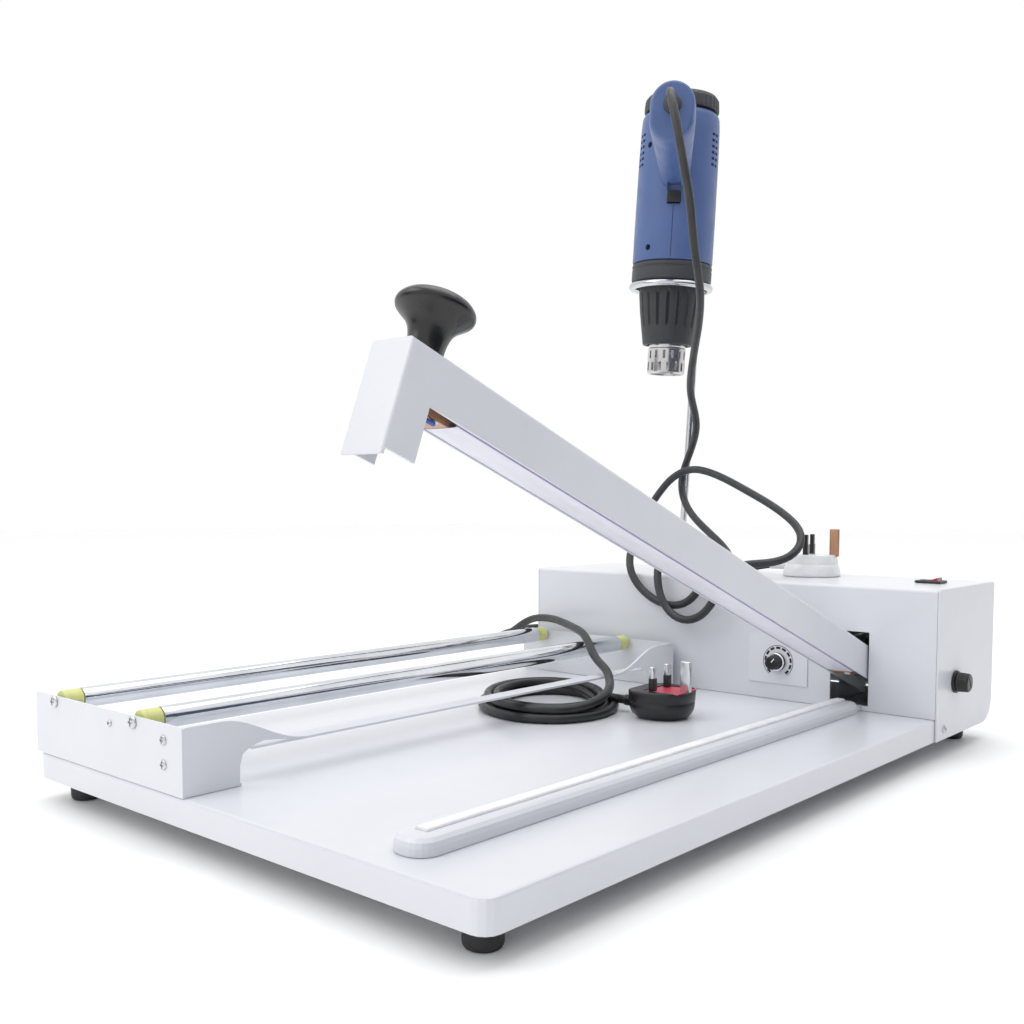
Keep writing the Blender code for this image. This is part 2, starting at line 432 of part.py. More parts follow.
def clamp_block(name, world_z):
    """Saddle that holds the rod on the back plate, its face parallel to the plate."""
    body = block(name, ROD_X - 13, ROD_X + 13, HOUSE_BACK + 0.3 - RING_Y, ROD_Y + 5.2, world_z - 6, world_z + 6, [(lambda e: edge_along(e, 0), 0.6, 1)])
    return finish(boolean(body, [rod("saddle_bore", "z", (ROD_X, ROD_Y), ROD_R + 0.3, world_z - 20, world_z + 20, 16)]), ZINC, parent=stand_frame)


clamp_block("stand_clamp_upper", 84.0 - RING_Z)
clamp_block("stand_clamp_lower", 30.0 - RING_Z)

# ---------------------------------------------------------------- hot-air gun, nozzle down (frame of stand_frame)
collar_low = ROD_R + 0.3
finish(lathe("gun_collar", [(29.0, 21.4), (37.6, 21.4), (38.6, 19.8), (38.6, 5.4), (37.0, collar_low), (29.0, collar_low), (29.0, 21.4)], 32), ((0.06, 0.065, 0.07), 0.5), parent=stand_frame)
barrel = lathe("gun_body", [(0, 164.5), (27.5, 164.5), (34.0, 163.2), (36.6, 159), (37.3, 150), (38.0, 120), (38.6, 60), (38.6, 21.8), (0, 21.8)], 32)
# handle: a lofted grip leaving the barrel forwards and slightly up
HANDLE_L, HW, HH = 132.0, 19.5, 25.5
hb = bmesh.new()
rings = []
for reach, rise, half_w, half_h in ((8, 108, 12.0, 24), (34, 111, 13.5, 27), (52, 115, 15.0, 25), (80, 119, 17.0, 24.2), (112, 126, HW, 25), (128, 128.5, HW, HH), (HANDLE_L, 129, HW - 2.0, HH - 2.0)):
    ring_v = []
    for i in range(20):
        a = 2 * math.pi * i / 20
        s, c = math.sin(a), math.cos(a)
        # stadium section: straight flanks between round ends
        cx, cz = half_w * c, (half_h - half_w) * (1 if s > 1e-9 else -1 if s < -1e-9 else 0) + half_w * s
        ring_v.append(hb.verts.new((cx, -reach, rise + cz)))
    rings.append(ring_v)
for a, b in zip(rings, rings[1:]):
    for i in range(20):
        hb.faces.new((a[i], a[(i + 1) % 20], b[(i + 1) % 20], b[i]))
hb.faces.new(rings[0][::-1])
hb.faces.new(rings[-1])
bmesh.ops.rotate(hb, verts=hb.verts, cent=(0, 0, 0), matrix=Matrix.Rotation(math.radians(HANDLE_TURN), 3, "Z"))
grip = from_bmesh("grip", hb)
SW = math.radians(HANDLE_TURN)
front = Vector((math.sin(SW), -math.cos(SW), 0))
body = boolean(barrel, [grip], "UNION")
well = block("switch_well", -6.4, 6.4, -60, -35.5, 72.5, 90.5)
well.data.transform(Matrix.Rotation(SW, 4, "Z"))
exit_at = Matrix.Rotation(SW, 4, "Z")
body = boolean(body, [well])
finish(body, ((0.09, 0.14, 0.36), 0.4), parent=stand_frame)
rear_cap = lathe("gun_rear_cap", [(0, 181), (26, 181), (32.5, 179.2), (35.2, 175.5), (35.8, 164.8), (0, 164.8)], 32)
finish(rear_cap, ((0.03, 0.03, 0.035), 0.5), parent=stand_frame)
ribs = []
guard_profile = [(20.0, 3.0), (30.6, 3.0), (30.2, -8), (28.6, -24), (25.4, -46), (24.2, -55.5), (20.0, -55.5), (20.0, 3.0)]
guard = lathe("gun_guard", guard_profile, 36)
grooves = []
for i in range(18):
    a = 2 * math.pi * i / 18
    g = block("groove_%d" % i, -1.4, 1.4, -34, -28.9, -38, -6)
    tilt = Matrix.Rotation(a, 4, "Z") @ Matrix.Translation((0, 0, -22)) @ Matrix.Rotation(math.radians(-7.0), 4, "X") @ Matrix.Translation((0, 0, 22))
    g.data.transform(tilt)
    grooves.append(g)
finish(boolean(guard, grooves), ((0.045, 0.047, 0.05), 0.6), parent=stand_frame)
nozzle = lathe("gun_nozzle", [(16.6, 0.0), (18.2, 0.0), (18.2, -82.0), (17.2, -83.6), (15.4, -83.6), (15.4, -60.0), (6.0, -58.0), (0, -58.0), (0, -54), (6, -54), (16.6, -50.0), (16.6, 0.0)], 28)
finish(nozzle, ((0.62, 0.63, 0.65), 0.25, 1.0), parent=stand_frame)
sw = block("gun_switch", -5.9, 5.9, -43.8, -36.4, 73.2, 83.6, [(lambda e: edge_along(e, 0), 1.2, 2)])
sw.data.transform(Matrix.Rotation(SW, 4, "Z"))
origin = Matrix.Rotation(SW, 3, "Z") @ Vector((0, -38, 79.4))
finish(sw, BLACK, origin=tuple(origin), parent=stand_frame)

# cord sleeve on the end of the handle, a tapered boot along the handle
boot_turn = Matrix.Rotation(SW, 4, "Z") @ Matrix.Translation((0, -HANDLE_L - 0.3, 133)) @ Matrix.Rotation(math.radians(90), 4, "X")
boot = lathe("gun_cord_boot", [(0, 22.0), (4.2, 22.0), (4.6, 20.0), (6.2, 4.0), (7.6, 3.0), (7.6, 0.0), (0, 0.0)], 20, boot_turn)
finish(boot, BLACK, parent=stand_frame)


# ---------------------------------------------------------------- free cords
def smooth_route(points, spacing, rounds):
    """Evenly spaced points on one smooth curve through the route's points, eased where it bends hard."""
    pts = [Vector(p) for p in points]
    ends = [2 * pts[0] - pts[1]] + pts + [2 * pts[-1] - pts[-2]]
    dense = []
    for a, b, c, d in zip(ends, ends[1:], ends[2:], ends[3:]):
        for i in range(16):
            t = i / 16
            dense.append(0.5 * (2 * b + (c - a) * t + (2 * a - 5 * b + 4 * c - d) * t * t + (3 * b - a - 3 * c + d) * t ** 3))
    dense.append(pts[-1])

    def even(line, step):
        run = [0.0]
        for p, q in zip(line, line[1:]):
            run.append(run[-1] + (q - p).length)
        count = max(2, round(run[-1] / step))
        out, j = [], 0
        for i in range(count + 1):
            want = run[-1] * i / count
            while j < len(run) - 2 and run[j + 1] < want:
                j += 1
            part = (want - run[j]) / max(1e-9, run[j + 1] - run[j])
            out.append(line[j].lerp(line[j + 1], part))
        return out
    line = even(dense, 4.0)
    for _ in range(rounds):
        line = line[:2] + [(p + 2 * q + r) / 4 for p, q, r in zip(line[1:], line[2:], line[3:])] + line[-2:] if len(line) > 5 else line
    out = even(line, spacing)
    first, final = (out[1] - out[0]), (out[-1] - out[-2])
    near = even(line, 5.0)
    return [out[0], near[1]] + out[1:-1] + [near[-2], out[-1]] if first.length > 12 and final.length > 12 else out


# gun cord: out of the boot, down behind the arm, two loops over the housing's front edge, into its plug
boot_dir = Matrix.Rotation(SW, 3, "Z") @ Vector((0, -1, 0))
lean = Matrix.Rotation(math.radians(LEAN), 3, "Y")
boot_tip = Matrix.Rotation(SW, 3, "Z") @ Vector((0, -HANDLE_L - 0.3 - 22.0, 133))
tip_at = Vector((RING_X, RING_Y, RING_Z)) + lean @ boot_tip
tip_dir = (lean @ boot_dir).normalized()
start = tip_at + 0.3 * tip_dir
GUN_ROUTE = [tuple(start), tuple(start + 14 * tip_dir), tuple(start + 30 * tip_dir + Vector((2, 0, -10))), (-190, 428, 462), (-186, 432, 432), (-185, 440, 407), (-192, 458, 375), (-199, 480, 343), (-216, 506, 320), (-235, 530, 301), (-261, 565, 270), (-269.5, 592, 239), (-285, 605, 213), (-296, 607, 190), (-288, 598, 168), (-272, 590, 151), (-245, 579, 134), (-229, 571, 125.5), (-214, 560, 116.5), (-203, 545, 109), (-199, 528, 106.5), (-196.5, 512, 109), (-195.5, 498, 108), (-197, 488.5, 98), (-205, 488.5, 83), (-219, 491.2, 74), (-233, 491.8, 72), (-249, 492, 76), (-265, 492, 86), (-277, 493, 100), (-282, 498, 114), (-285, 509, 125), (-293, 526, 131), (-304, 547, 134), (-313, 565, 143), (-317, 579, 156), (-309, 587, 173), (-294, 588, 189), (-272, 589, 197), (-244, 588, 190), (-212, 584, 176), (-174, 576, 158), (-148, 567, 141), (-139, 552, 126), (-145, 537, 115), (-159, 523, 111.5), (-171, 509.5, 111), (-177, 495, 106), (-179, 485, 93), (-185, 482.5, 77), (-198, 483, 64.5), (-212, 483.5, 60.5), (-228, 484.5, 66), (-240, 486, 81), (-245, 489, 97), (-247.5, 494.5, 112), (-245, 506, 122.5), (-237, 520, 122), (-229, 534, 113), (-222, 546, 105.5), (-213, 557, 103), (-202, 567.5, 103.5), (-193, 573.4, 106), (-181.3, 576.3, 107.8)]
gun_line = smooth_route(GUN_ROUTE, 21.0, 10)
finish(tube("gun_cord", gun_line, CORD_R, 2), ((0.05, 0.05, 0.055), 0.5))


def plug(name, at, turn, lift, tall, reach, look, scales=(0.74, 0.86, 0.95, 1.0, 0.97)):
    """Three-pin plug lying pins up: D-shaped body, cord boot, two insulated flat pins and a larger earth pin."""
    plan = [(-22, -15), (-20, -18), (-12, -24.5), (2, -25.2), (14, -21), (22, -12), (24.5, 0), (22, 12), (14, 21), (2, 25.2), (-12, 24.5), (-20, 18), (-22, 15)]
    lo = hb2 = bmesh.new()
    rings2 = []
    for height, scale in zip((0, 3.0, 8.0, tall - 1.2, tall), scales):
        rings2.append([lo.verts.new((x * scale, y * scale, height)) for x, y in plan])
    for a, b in zip(rings2, rings2[1:]):
        for i in range(len(plan)):
            hb2.faces.new((a[i], a[(i + 1) % len(plan)], b[(i + 1) % len(plan)], b[i]))
    hb2.faces.new(rings2[0][::-1])
    hb2.faces.new(rings2[-1])
    body = from_bmesh(name, hb2)
    add = [block("pin_l", -5.0, -1.0, -14.2, -8.0, tall - 2, tall + 17.7), block("pin_n", -5.0, -1.0, 8.0, 14.2, tall - 2, tall + 17.7), block("pin_e", 15.2, 23.2, -2.0, 2.0, tall - 2, tall + 22.7)]
    boot = rod("boot", "x", (0, 9.0), 4.3, -reach, -15, 14, tip=6.0)
    body = boolean(boolean(body, [boot], "UNION"), add, "UNION")
    move = Matrix.Translation((*at, lift)) @ Matrix.Rotation(math.radians(turn), 4, "Z")
    body.data.transform(move)
    return finish(body, look)


plug("plug_white", (-143.5, 584.0), 11.7, HOUSE_TOP + 0.3, 19.0, 37.7, ((0.85, 0.85, 0.86), 0.35), (1.0, 0.98, 0.94, 0.86, 0.83))
plug("plug_black", (-161.5, 374.0), 3.7, 0.3, 21.5, 34.0, ((0.025, 0.025, 0.028), 0.4))

# mains cord: gland on the left side panel, over both rollers, into a loose coil on the base, then its plug
gland_turn = Matrix.Translation((HOUSE_LEFT, GLAND_Y, GLAND_Z)) @ Matrix.Rotation(math.radians(-90), 4, "Y")
gland = lathe("mains_gland", [(0, 25.0), (4.3, 25.0), (4.8, 23.0), (6.4, 3.4), (8.8, 2.8), (8.8, 0.3), (5.8, 0.3), (5.8, -8.0), (0, -8.0)], 20, gland_turn)
finish(gland, BLACK)
MAINS_ROUTE = [(HOUSE_LEFT - 25.3, GLAND_Y, GLAND_Z), (-424, 559.7, 33), (-436, 556, 32), (-445, 548, 31), (-450, 537, 30), (-451, 521, 28), (-446, 505, 27), (-434, 491.5, 27.5), (-420, 484, 31), (-405, 480, 38.5), (-390, 477.5, 47), (-374, 475, 52.5), (-350, 467, 54.5), (-328, 456, 54), (-304, 443, 52), (-283, 430, 49.5), (-267, 418, 43.5), (-255, 408, 36.5), (-243, 400, 31.5), (-233, 394, 28.8), (-224, 387.5, 25.5), (-216, 379, 21.6), (-209.5, 369.5, 18.8)]
mains_line = smooth_route(MAINS_ROUTE, 20.0, 4)
finish(tube("mains_cord", mains_line, CORD_R, 2), ((0.03, 0.03, 0.033), 0.45))
COIL_X, COIL_Y, COIL_A, COIL_B, COIL_HALF = -252.0, 346.0, 46.0, 62.0, 10.6
coil = lathe("mains_coil", [(COIL_A + COIL_HALF - 3.5, 13.8), (COIL_A + COIL_HALF, 8.5), (COIL_A + COIL_HALF, 2.3), (COIL_A + COIL_HALF - 1.5, 0.3), (COIL_A - COIL_HALF + 1.5, 0.3), (COIL_A - COIL_HALF, 2.3), (COIL_A - COIL_HALF, 8.5), (COIL_A - COIL_HALF + 3.5, 13.8), (COIL_A + COIL_HALF - 3.5, 13.8)], 32)
for v in coil.data.vertices:
    v.co.y *= (COIL_B + COIL_HALF) / (COIL_A + COIL_HALF)
coil.data.transform(Matrix.Translation((COIL_X, COIL_Y, 0)) @ Matrix.Rotation(math.radians(41.7), 4, "Z"))
finish(coil, ((0.03, 0.03, 0.033), 0.45))
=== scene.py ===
import json
import math

import bmesh
import bpy
from mathutils import Matrix, Vector, noise

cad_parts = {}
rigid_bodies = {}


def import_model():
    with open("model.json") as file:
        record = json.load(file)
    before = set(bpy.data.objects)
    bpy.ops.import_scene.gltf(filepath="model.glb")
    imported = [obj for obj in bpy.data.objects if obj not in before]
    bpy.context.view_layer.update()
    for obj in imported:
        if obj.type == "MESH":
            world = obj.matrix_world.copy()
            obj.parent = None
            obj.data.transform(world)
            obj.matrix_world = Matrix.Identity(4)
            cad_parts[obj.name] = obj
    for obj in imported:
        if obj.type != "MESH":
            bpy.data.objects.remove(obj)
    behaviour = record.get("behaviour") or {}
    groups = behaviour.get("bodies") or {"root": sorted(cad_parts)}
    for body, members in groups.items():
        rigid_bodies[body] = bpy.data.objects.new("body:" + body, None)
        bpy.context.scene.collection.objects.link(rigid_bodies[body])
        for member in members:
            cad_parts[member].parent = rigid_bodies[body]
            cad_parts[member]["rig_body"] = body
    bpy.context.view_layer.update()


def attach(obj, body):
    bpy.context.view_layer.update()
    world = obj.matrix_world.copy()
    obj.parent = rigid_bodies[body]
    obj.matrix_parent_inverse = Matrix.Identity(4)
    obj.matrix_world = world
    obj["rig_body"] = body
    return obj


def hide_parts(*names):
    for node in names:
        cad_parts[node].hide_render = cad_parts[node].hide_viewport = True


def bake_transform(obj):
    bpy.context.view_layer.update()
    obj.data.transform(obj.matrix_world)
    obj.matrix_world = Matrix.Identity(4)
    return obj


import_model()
mm = 0.001

# ------------------------------------------------------------------ layout frame of the sealer, in millimetres
LAYOUT = Vector((195.25, -312.6, 31.5))
PIVOT, ARM_OPEN = (-69.4, 541.0, 24.6), 20.6
RING, LEAN, HANDLE_TURN = (-301.5, 592.1, 373.5), 3.5, 30.0


def D(x, y, z):
    """A point of the layout frame, in metres of the row frame."""
    return (LAYOUT + Vector((x, y, z))) * mm


TO_LAYOUT = Matrix.Scale(mm, 4) @ Matrix.Translation(LAYOUT)
TO_ARM = TO_LAYOUT @ Matrix.Translation(PIVOT) @ Matrix.Rotation(math.radians(-ARM_OPEN), 4, "X")
TO_GUN = TO_LAYOUT @ Matrix.Translation(RING) @ Matrix.Rotation(math.radians(LEAN), 4, "Y")
TURN = Matrix.Rotation(math.radians(HANDLE_TURN), 4, "Z")

# ------------------------------------------------------------------ camera
camera = bpy.data.objects.new("camera", bpy.data.cameras.new("camera"))
bpy.context.scene.collection.objects.link(camera)
bpy.context.scene.camera = camera
az, el, roll = math.radians(41.679), math.radians(3.342), math.radians(0.175)
back = Vector((math.sin(az) * math.cos(el), -math.cos(az) * math.cos(el), math.sin(el)))
right = Vector((math.cos(az), math.sin(az), 0.0))
up = back.cross(right)
cam_x = math.cos(roll) * right + math.sin(roll) * up
cam_y = -math.sin(roll) * right + math.cos(roll) * up
turn = Matrix((cam_x, cam_y, back)).transposed().to_4x4()
camera.matrix_world = Matrix.Translation(D(294.43, -321.86, 164.45)) @ turn
camera.data.sensor_width = 36.0
camera.data.lens = 1084.2 / 1024 * 36.0
camera.data.shift_x = (512 - 504.27) / 1024
camera.data.shift_y = (564.64 - 512) / 1024
camera.data.clip_start, camera.data.clip_end = 0.02, 30.0


# ------------------------------------------------------------------ material kit
class Nodes:
    """Small helper for building a material's node tree."""

    def __init__(self, name):
        self.mat = bpy.data.materials.new(name)
        self.mat.use_nodes = True
        self.tree = self.mat.node_tree
        self.shader = self.tree.nodes["Principled BSDF"]
        self.where = self.add("ShaderNodeTexCoord").outputs["Object"]

    def add(self, kind, **settings):
        node = self.tree.nodes.new(kind)
        for key, value in settings.items():
            if key.startswith("i_"):
                node.inputs[key[2:].replace("_", " ")].default_value = value
            else:
                setattr(node, key, value)
        return node

    def link(self, a, b):
        self.tree.links.new(a, b)

    def noise(self, scale, detail=3.0, rough=0.55, stretch=None):
        node = self.add("ShaderNodeTexNoise")
        node.inputs["Scale"].default_value = scale
        node.inputs["Detail"].default_value = detail
        node.inputs["Roughness"].default_value = rough
        if stretch:
            mapping = self.add("ShaderNodeMapping")
            mapping.inputs["Scale"].default_value = stretch
            self.link(self.where, mapping.inputs["Vector"])
            self.link(mapping.outputs["Vector"], node.inputs["Vector"])
        else:
            self.link(self.where, node.inputs["Vector"])
        return node.outputs["Fac"]

    def ramp(self, value, low, high, a=0.0, b=1.0):
        node = self.add("ShaderNodeMapRange")
        node.inputs["From Min"].default_value = a
        node.inputs["From Max"].default_value = b
        node.inputs["To Min"].default_value = low
        node.inputs["To Max"].default_value = high
        self.link(value, node.inputs["Value"])
        return node.outputs["Result"]

    def colours(self, value, *stops):
        node = self.add("ShaderNodeValToRGB")
        while len(node.color_ramp.elements) < len(stops):
            node.color_ramp.elements.new(0.5)
        for element, (at, colour) in zip(node.color_ramp.elements, stops):
            element.position = at
            element.color = (*colour, 1.0)
        self.link(value, node.inputs["Fac"])
        return node.outputs["Color"]

    def bump(self, height, distance, strength=1.0, under=None):
        node = self.add("ShaderNodeBump")
        node.inputs["Strength"].default_value = strength
        node.inputs["Distance"].default_value = distance
        self.link(height, node.inputs["Height"])
        if under is not None:
            self.link(under, node.inputs["Normal"])
        return node.outputs["Normal"]


def shade(colour, factor):
    return tuple(max(0.0, min(1.0, c * factor)) for c in colour)


def coat(name, colour, rough=0.3, peel=1.0):
    """Powder coat or paint: orange-peel surface, faint soiling, slightly glossier high spots."""
    n = Nodes(name)
    soil = n.noise(14.0, 5.0, 0.6)
    n.link(n.colours(soil, (0.30, shade(colour, 0.965)), (0.62, colour), (1.0, shade(colour, 1.01))), n.shader.inputs["Base Color"])
    n.link(n.ramp(n.noise(70.0, 4.0), rough - 0.04, rough + 0.05, 0.3, 0.7), n.shader.inputs["Roughness"])
    n.shader.inputs["Coat Weight"].default_value = 0.30
    n.shader.inputs["Coat Roughness"].default_value = 0.16
    n.link(n.bump(n.noise(380.0, 1.0), 0.00002 * peel, 0.10), n.shader.inputs["Normal"])
    return n.mat


def plastic(name, colour, rough=0.4, grain=1.0, vary=0.12, coatw=0.0):
    """Moulded plastic: spark-eroded grain, slight flow marks, handling gloss."""
    n = Nodes(name)
    flow = n.noise(30.0, 4.0)
    n.link(n.colours(flow, (0.3, shade(colour, 1 - vary)), (0.7, shade(colour, 1 + vary))), n.shader.inputs["Base Color"])
    n.link(n.ramp(n.noise(90.0, 5.0), rough - 0.07, rough + 0.09, 0.3, 0.7), n.shader.inputs["Roughness"])
    n.shader.inputs["Coat Weight"].default_value = coatw
    n.shader.inputs["Coat Roughness"].default_value = 0.1
    voronoi = n.add("ShaderNodeTexVoronoi", feature="SMOOTH_F1")
    voronoi.inputs["Scale"].default_value = 2600.0
    n.link(n.where, voronoi.inputs["Vector"])
    n.link(n.bump(voronoi.outputs["Distance"], 0.00008 * grain, 0.4), n.shader.inputs["Normal"])
    return n.mat


def metal(name, colour, rough=0.25, stretch=(1, 1, 1), scratch=1.0, tint=None):
    """Bare or plated metal: directional brushing or polishing marks and slow tarnish."""
    n = Nodes(name)
    n.shader.inputs["Metallic"].default_value = 1.0
    tarnish = n.noise(22.0, 5.0)
    n.link(n.colours(tarnish, (0.3, tint or shade(colour, 0.86)), (0.68, colour)), n.shader.inputs["Base Color"])
    lines = n.noise(900.0, 3.0, 0.6, stretch)
    n.link(n.ramp(lines, rough * 0.7, rough * 1.5, 0.3, 0.7), n.shader.inputs["Roughness"])
    n.link(n.bump(lines, 0.00003 * scratch, 0.3), n.shader.inputs["Normal"])
    return n.mat


def rubber(name, colour, rough=0.6, grain=1.0):
    n = Nodes(name)
    dust = n.noise(60.0, 6.0, 0.65)
    n.link(n.colours(dust, (0.35, colour), (0.8, tuple(min(1, c * 1.5 + 0.012) for c in colour))), n.shader.inputs["Base Color"])
    n.link(n.ramp(n.noise(240.0, 3.0), rough - 0.08, rough + 0.1, 0.3, 0.7), n.shader.inputs["Roughness"])
    n.link(n.bump(n.noise(1500.0, 3.0), 0.00006 * grain, 0.5), n.shader.inputs["Normal"])
    return n.mat


M = {
    "white": coat("white_powder_coat", (0.685, 0.703, 0.745), 0.34),
    "zinc": metal("zinc_plate", (0.66, 0.67, 0.68), 0.32, (1, 1, 6)),
    "chrome": metal("polished_chrome", (0.80, 0.82, 0.85), 0.085, (8, 0.4, 8), 0.5, (0.66, 0.68, 0.71)),
    "rod_chrome": metal("chromed_wire", (0.60, 0.61, 0.64), 0.16, (6, 6, 0.6), 0.6, (0.52, 0.53, 0.56)),
    "steel": metal("nozzle_steel", (0.63, 0.63, 0.64), 0.2, (1, 1, 5), 1.0, (0.52, 0.50, 0.50)),
    "ribbon": metal("heating_ribbon_metal", (0.50, 0.47, 0.43), 0.28, (6, 0.4, 6)),
    "copper": metal("copper_strip", (0.80, 0.50, 0.34), 0.34, (1, 5, 1), 1.0, (0.66, 0.38, 0.24)),
    "aluminium": metal("anodised_bar", (0.70, 0.71, 0.74), 0.4, (4, 0.4, 4)),
    "lamination": metal("transformer_steel", (0.22, 0.21, 0.20), 0.5, (1, 1, 30), 2.0),
    "winding": metal("enamelled_winding", (0.60, 0.27, 0.09), 0.35, (1, 1, 40), 2.0),
    "foot": rubber("foot_rubber", (0.018, 0.018, 0.019), 0.62, 1.5),
    "mains": rubber("mains_cord_rubber", (0.010, 0.010, 0.011), 0.40, 0.5),
    "lead": rubber("gun_cord_rubber", (0.020, 0.021, 0.024), 0.44, 0.5),
    "silicone": rubber("silicone_pad", (0.80, 0.81, 0.84), 0.5, 0.6),
    "black": plastic("black_plastic", (0.012, 0.012, 0.013), 0.36),
    "knob": plastic("knob_phenolic", (0.008, 0.008, 0.009), 0.30, 0.25, 0.1, 0.12),
    "collar": plastic("collar_plastic", (0.040, 0.043, 0.049), 0.5, 1.3),
    "guard": plastic("guard_plastic", (0.032, 0.033, 0.037), 0.55, 1.5),
    "blue": plastic("blue_plastic", (0.068, 0.118, 0.285), 0.40, 1.4, 0.06),
    "bush": plastic("bush_plastic", (0.66, 0.68, 0.27), 0.42, 0.6, 0.08),
    "red": plastic("red_plastic", (0.42, 0.012, 0.020), 0.22, 0.3, 0.1, 0.5),
    "pink": plastic("fuse_drawer_plastic", (0.55, 0.05, 0.09), 0.35, 0.4),
    "white_plastic": plastic("white_plastic", (0.80, 0.81, 0.83), 0.28, 0.4, 0.02, 0.3),
    "dial": plastic("dial_film", (0.70, 0.715, 0.77), 0.42, 0.6, 0.02),
    "ink": plastic("dial_ink", (0.015, 0.016, 0.02), 0.5, 0.4),
    "pale_ink": plastic("pale_ink", (0.78, 0.78, 0.78), 0.4, 0.3, 0.03),
    "board": plastic("solder_resist", (0.02, 0.13, 0.05), 0.3, 0.4),
    "dark": plastic("vent_shadow_plastic", (0.006, 0.006, 0.008), 0.7, 1.0),
    "tape": plastic("ptfe_glass_tape", (0.66, 0.62, 0.72), 0.33, 1.0, 0.05),
    "violet": plastic("tape_edge_adhesive", (0.44, 0.35, 0.60), 0.4, 0.5, 0.06),
    "wire": plastic("blue_wire_sleeve", (0.05, 0.12, 0.45), 0.4, 0.3),
    "brass": metal("brass_pin", (0.50, 0.29, 0.18), 0.42, (1, 1, 8)),
    "pin": metal("nickel_pin", (0.72, 0.73, 0.75), 0.2, (1, 1, 8)),
}

# the glass tape: cloudy, slightly streaked along its length
t = Nodes("ptfe_glass_tape_film")
streak = t.noise(240.0, 2.0, 0.5, (1.0, 0.12, 1.0))
t.link(t.colours(streak, (0.3, (0.745, 0.74, 0.805)), (0.7, (0.79, 0.79, 0.85))), t.shader.inputs["Base Color"])
t.link(t.ramp(t.noise(60.0), 0.28, 0.38, 0.3, 0.7), t.shader.inputs["Roughness"])
M["tape"] = t.mat


# ------------------------------------------------------------------ mesh kit (millimetres of a given frame)
def link(obj):
    bpy.context.scene.collection.objects.link(obj)
    return obj


def to_piece(name, bm, to, material, body, slot=None, replaces=(), smooth=35.0, bevel=None):
    """A finished piece: bmesh in millimetres of the frame `to`, shaded smooth below an angle, riding on a body."""
    bmesh.ops.recalc_face_normals(bm, faces=bm.faces)
    bmesh.ops.transform(bm, matrix=to, verts=bm.verts)
    mesh = bpy.data.meshes.new(name)
    bm.to_mesh(mesh)
    bm.free()
    mesh.shade_smooth()
    mesh.set_sharp_from_angle(angle=math.radians(smooth))
    obj = link(bpy.data.objects.new(name, mesh))
    obj.data.materials.append(M[material])
    if bevel:
        mod = obj.modifiers.new("edge_round", "BEVEL")
        mod.width, mod.segments, mod.limit_method, mod.angle_limit = bevel * mm, 2, "ANGLE", math.radians(35)
        mod.harden_normals = True
    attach(obj, body)
    if replaces:
        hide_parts(*replaces)
    return obj


def box_bm(x0, x1, y0, y1, z0, z1, bevel=0.0, segments=2, into=None, move=None):
    bm = bmesh.new()
    bmesh.ops.create_cube(bm, size=1.0)
    for v in bm.verts:
        v.co = ((x0 + x1) / 2 + v.co.x * (x1 - x0), (y0 + y1) / 2 + v.co.y * (y1 - y0), (z0 + z1) / 2 + v.co.z * (z1 - z0))
    if bevel:
        bmesh.ops.bevel(bm, geom=bm.edges[:], offset=bevel, segments=segments, profile=0.5, affect="EDGES", clamp_overlap=True)
    if move is not None:
        bmesh.ops.transform(bm, matrix=move, verts=bm.verts)
    return merge(into, bm)


def merge(into, bm):
    if into is None:
        return bm
    mesh = bpy.data.meshes.new("tmp")
    bm.to_mesh(mesh)
    bm.free()
    into.from_mesh(mesh)
    bpy.data.meshes.remove(mesh)
    return into


def lathe_bm(profile, steps=64, move=None, into=None, ripple=None):
    """A turned shape from (radius, height) pairs; ripple(angle, radius, height) may change a radius, as flutes do."""
    bm = bmesh.new()
    rings = []
    for r, z in profile:
        if r < 1e-6:
            rings.append([bm.verts.new((0, 0, z))])
        else:
            ring = []
            for i in range(steps):
                a = 2 * math.pi * i / steps
                rr = ripple(a, r, z) if ripple else r
                ring.append(bm.verts.new((rr * math.cos(a), rr * math.sin(a), z)))
            rings.append(ring)
    for a, b in zip(rings, rings[1:]):
        for i in range(steps):
            j = (i + 1) % steps
            if len(a) == 1 and len(b) > 1:
                bm.faces.new((a[0], b[i], b[j]))
            elif len(b) == 1 and len(a) > 1:
                bm.faces.new((a[i], b[0], a[j]))
            elif len(a) > 1:
                bm.faces.new((a[i], b[i], b[j], a[j]))
    if move is not None:
        bmesh.ops.transform(bm, matrix=move, verts=bm.verts)
    return merge(into, bm)


def fillet(points, radius, count=4):
    """Rounds the corners of a profile."""
    out = [points[0]]
    for a, b, c in zip(points, points[1:], points[2:]):
        va, vc = Vector((a[0] - b[0], a[1] - b[1])), Vector((c[0] - b[0], c[1] - b[1]))
        cut = min(radius, va.length * 0.45, vc.length * 0.45)
        if cut < 1e-4:
            out.append(b)
            continue
        p, q = Vector(b) + va.normalized() * cut, Vector(b) + vc.normalized() * cut
        for i in range(count + 1):
            s = i / count
            k = p * (1 - s) ** 2 + Vector(b) * 2 * s * (1 - s) + q * s ** 2
            out.append((k.x, k.y))
    return out + [points[-1]]


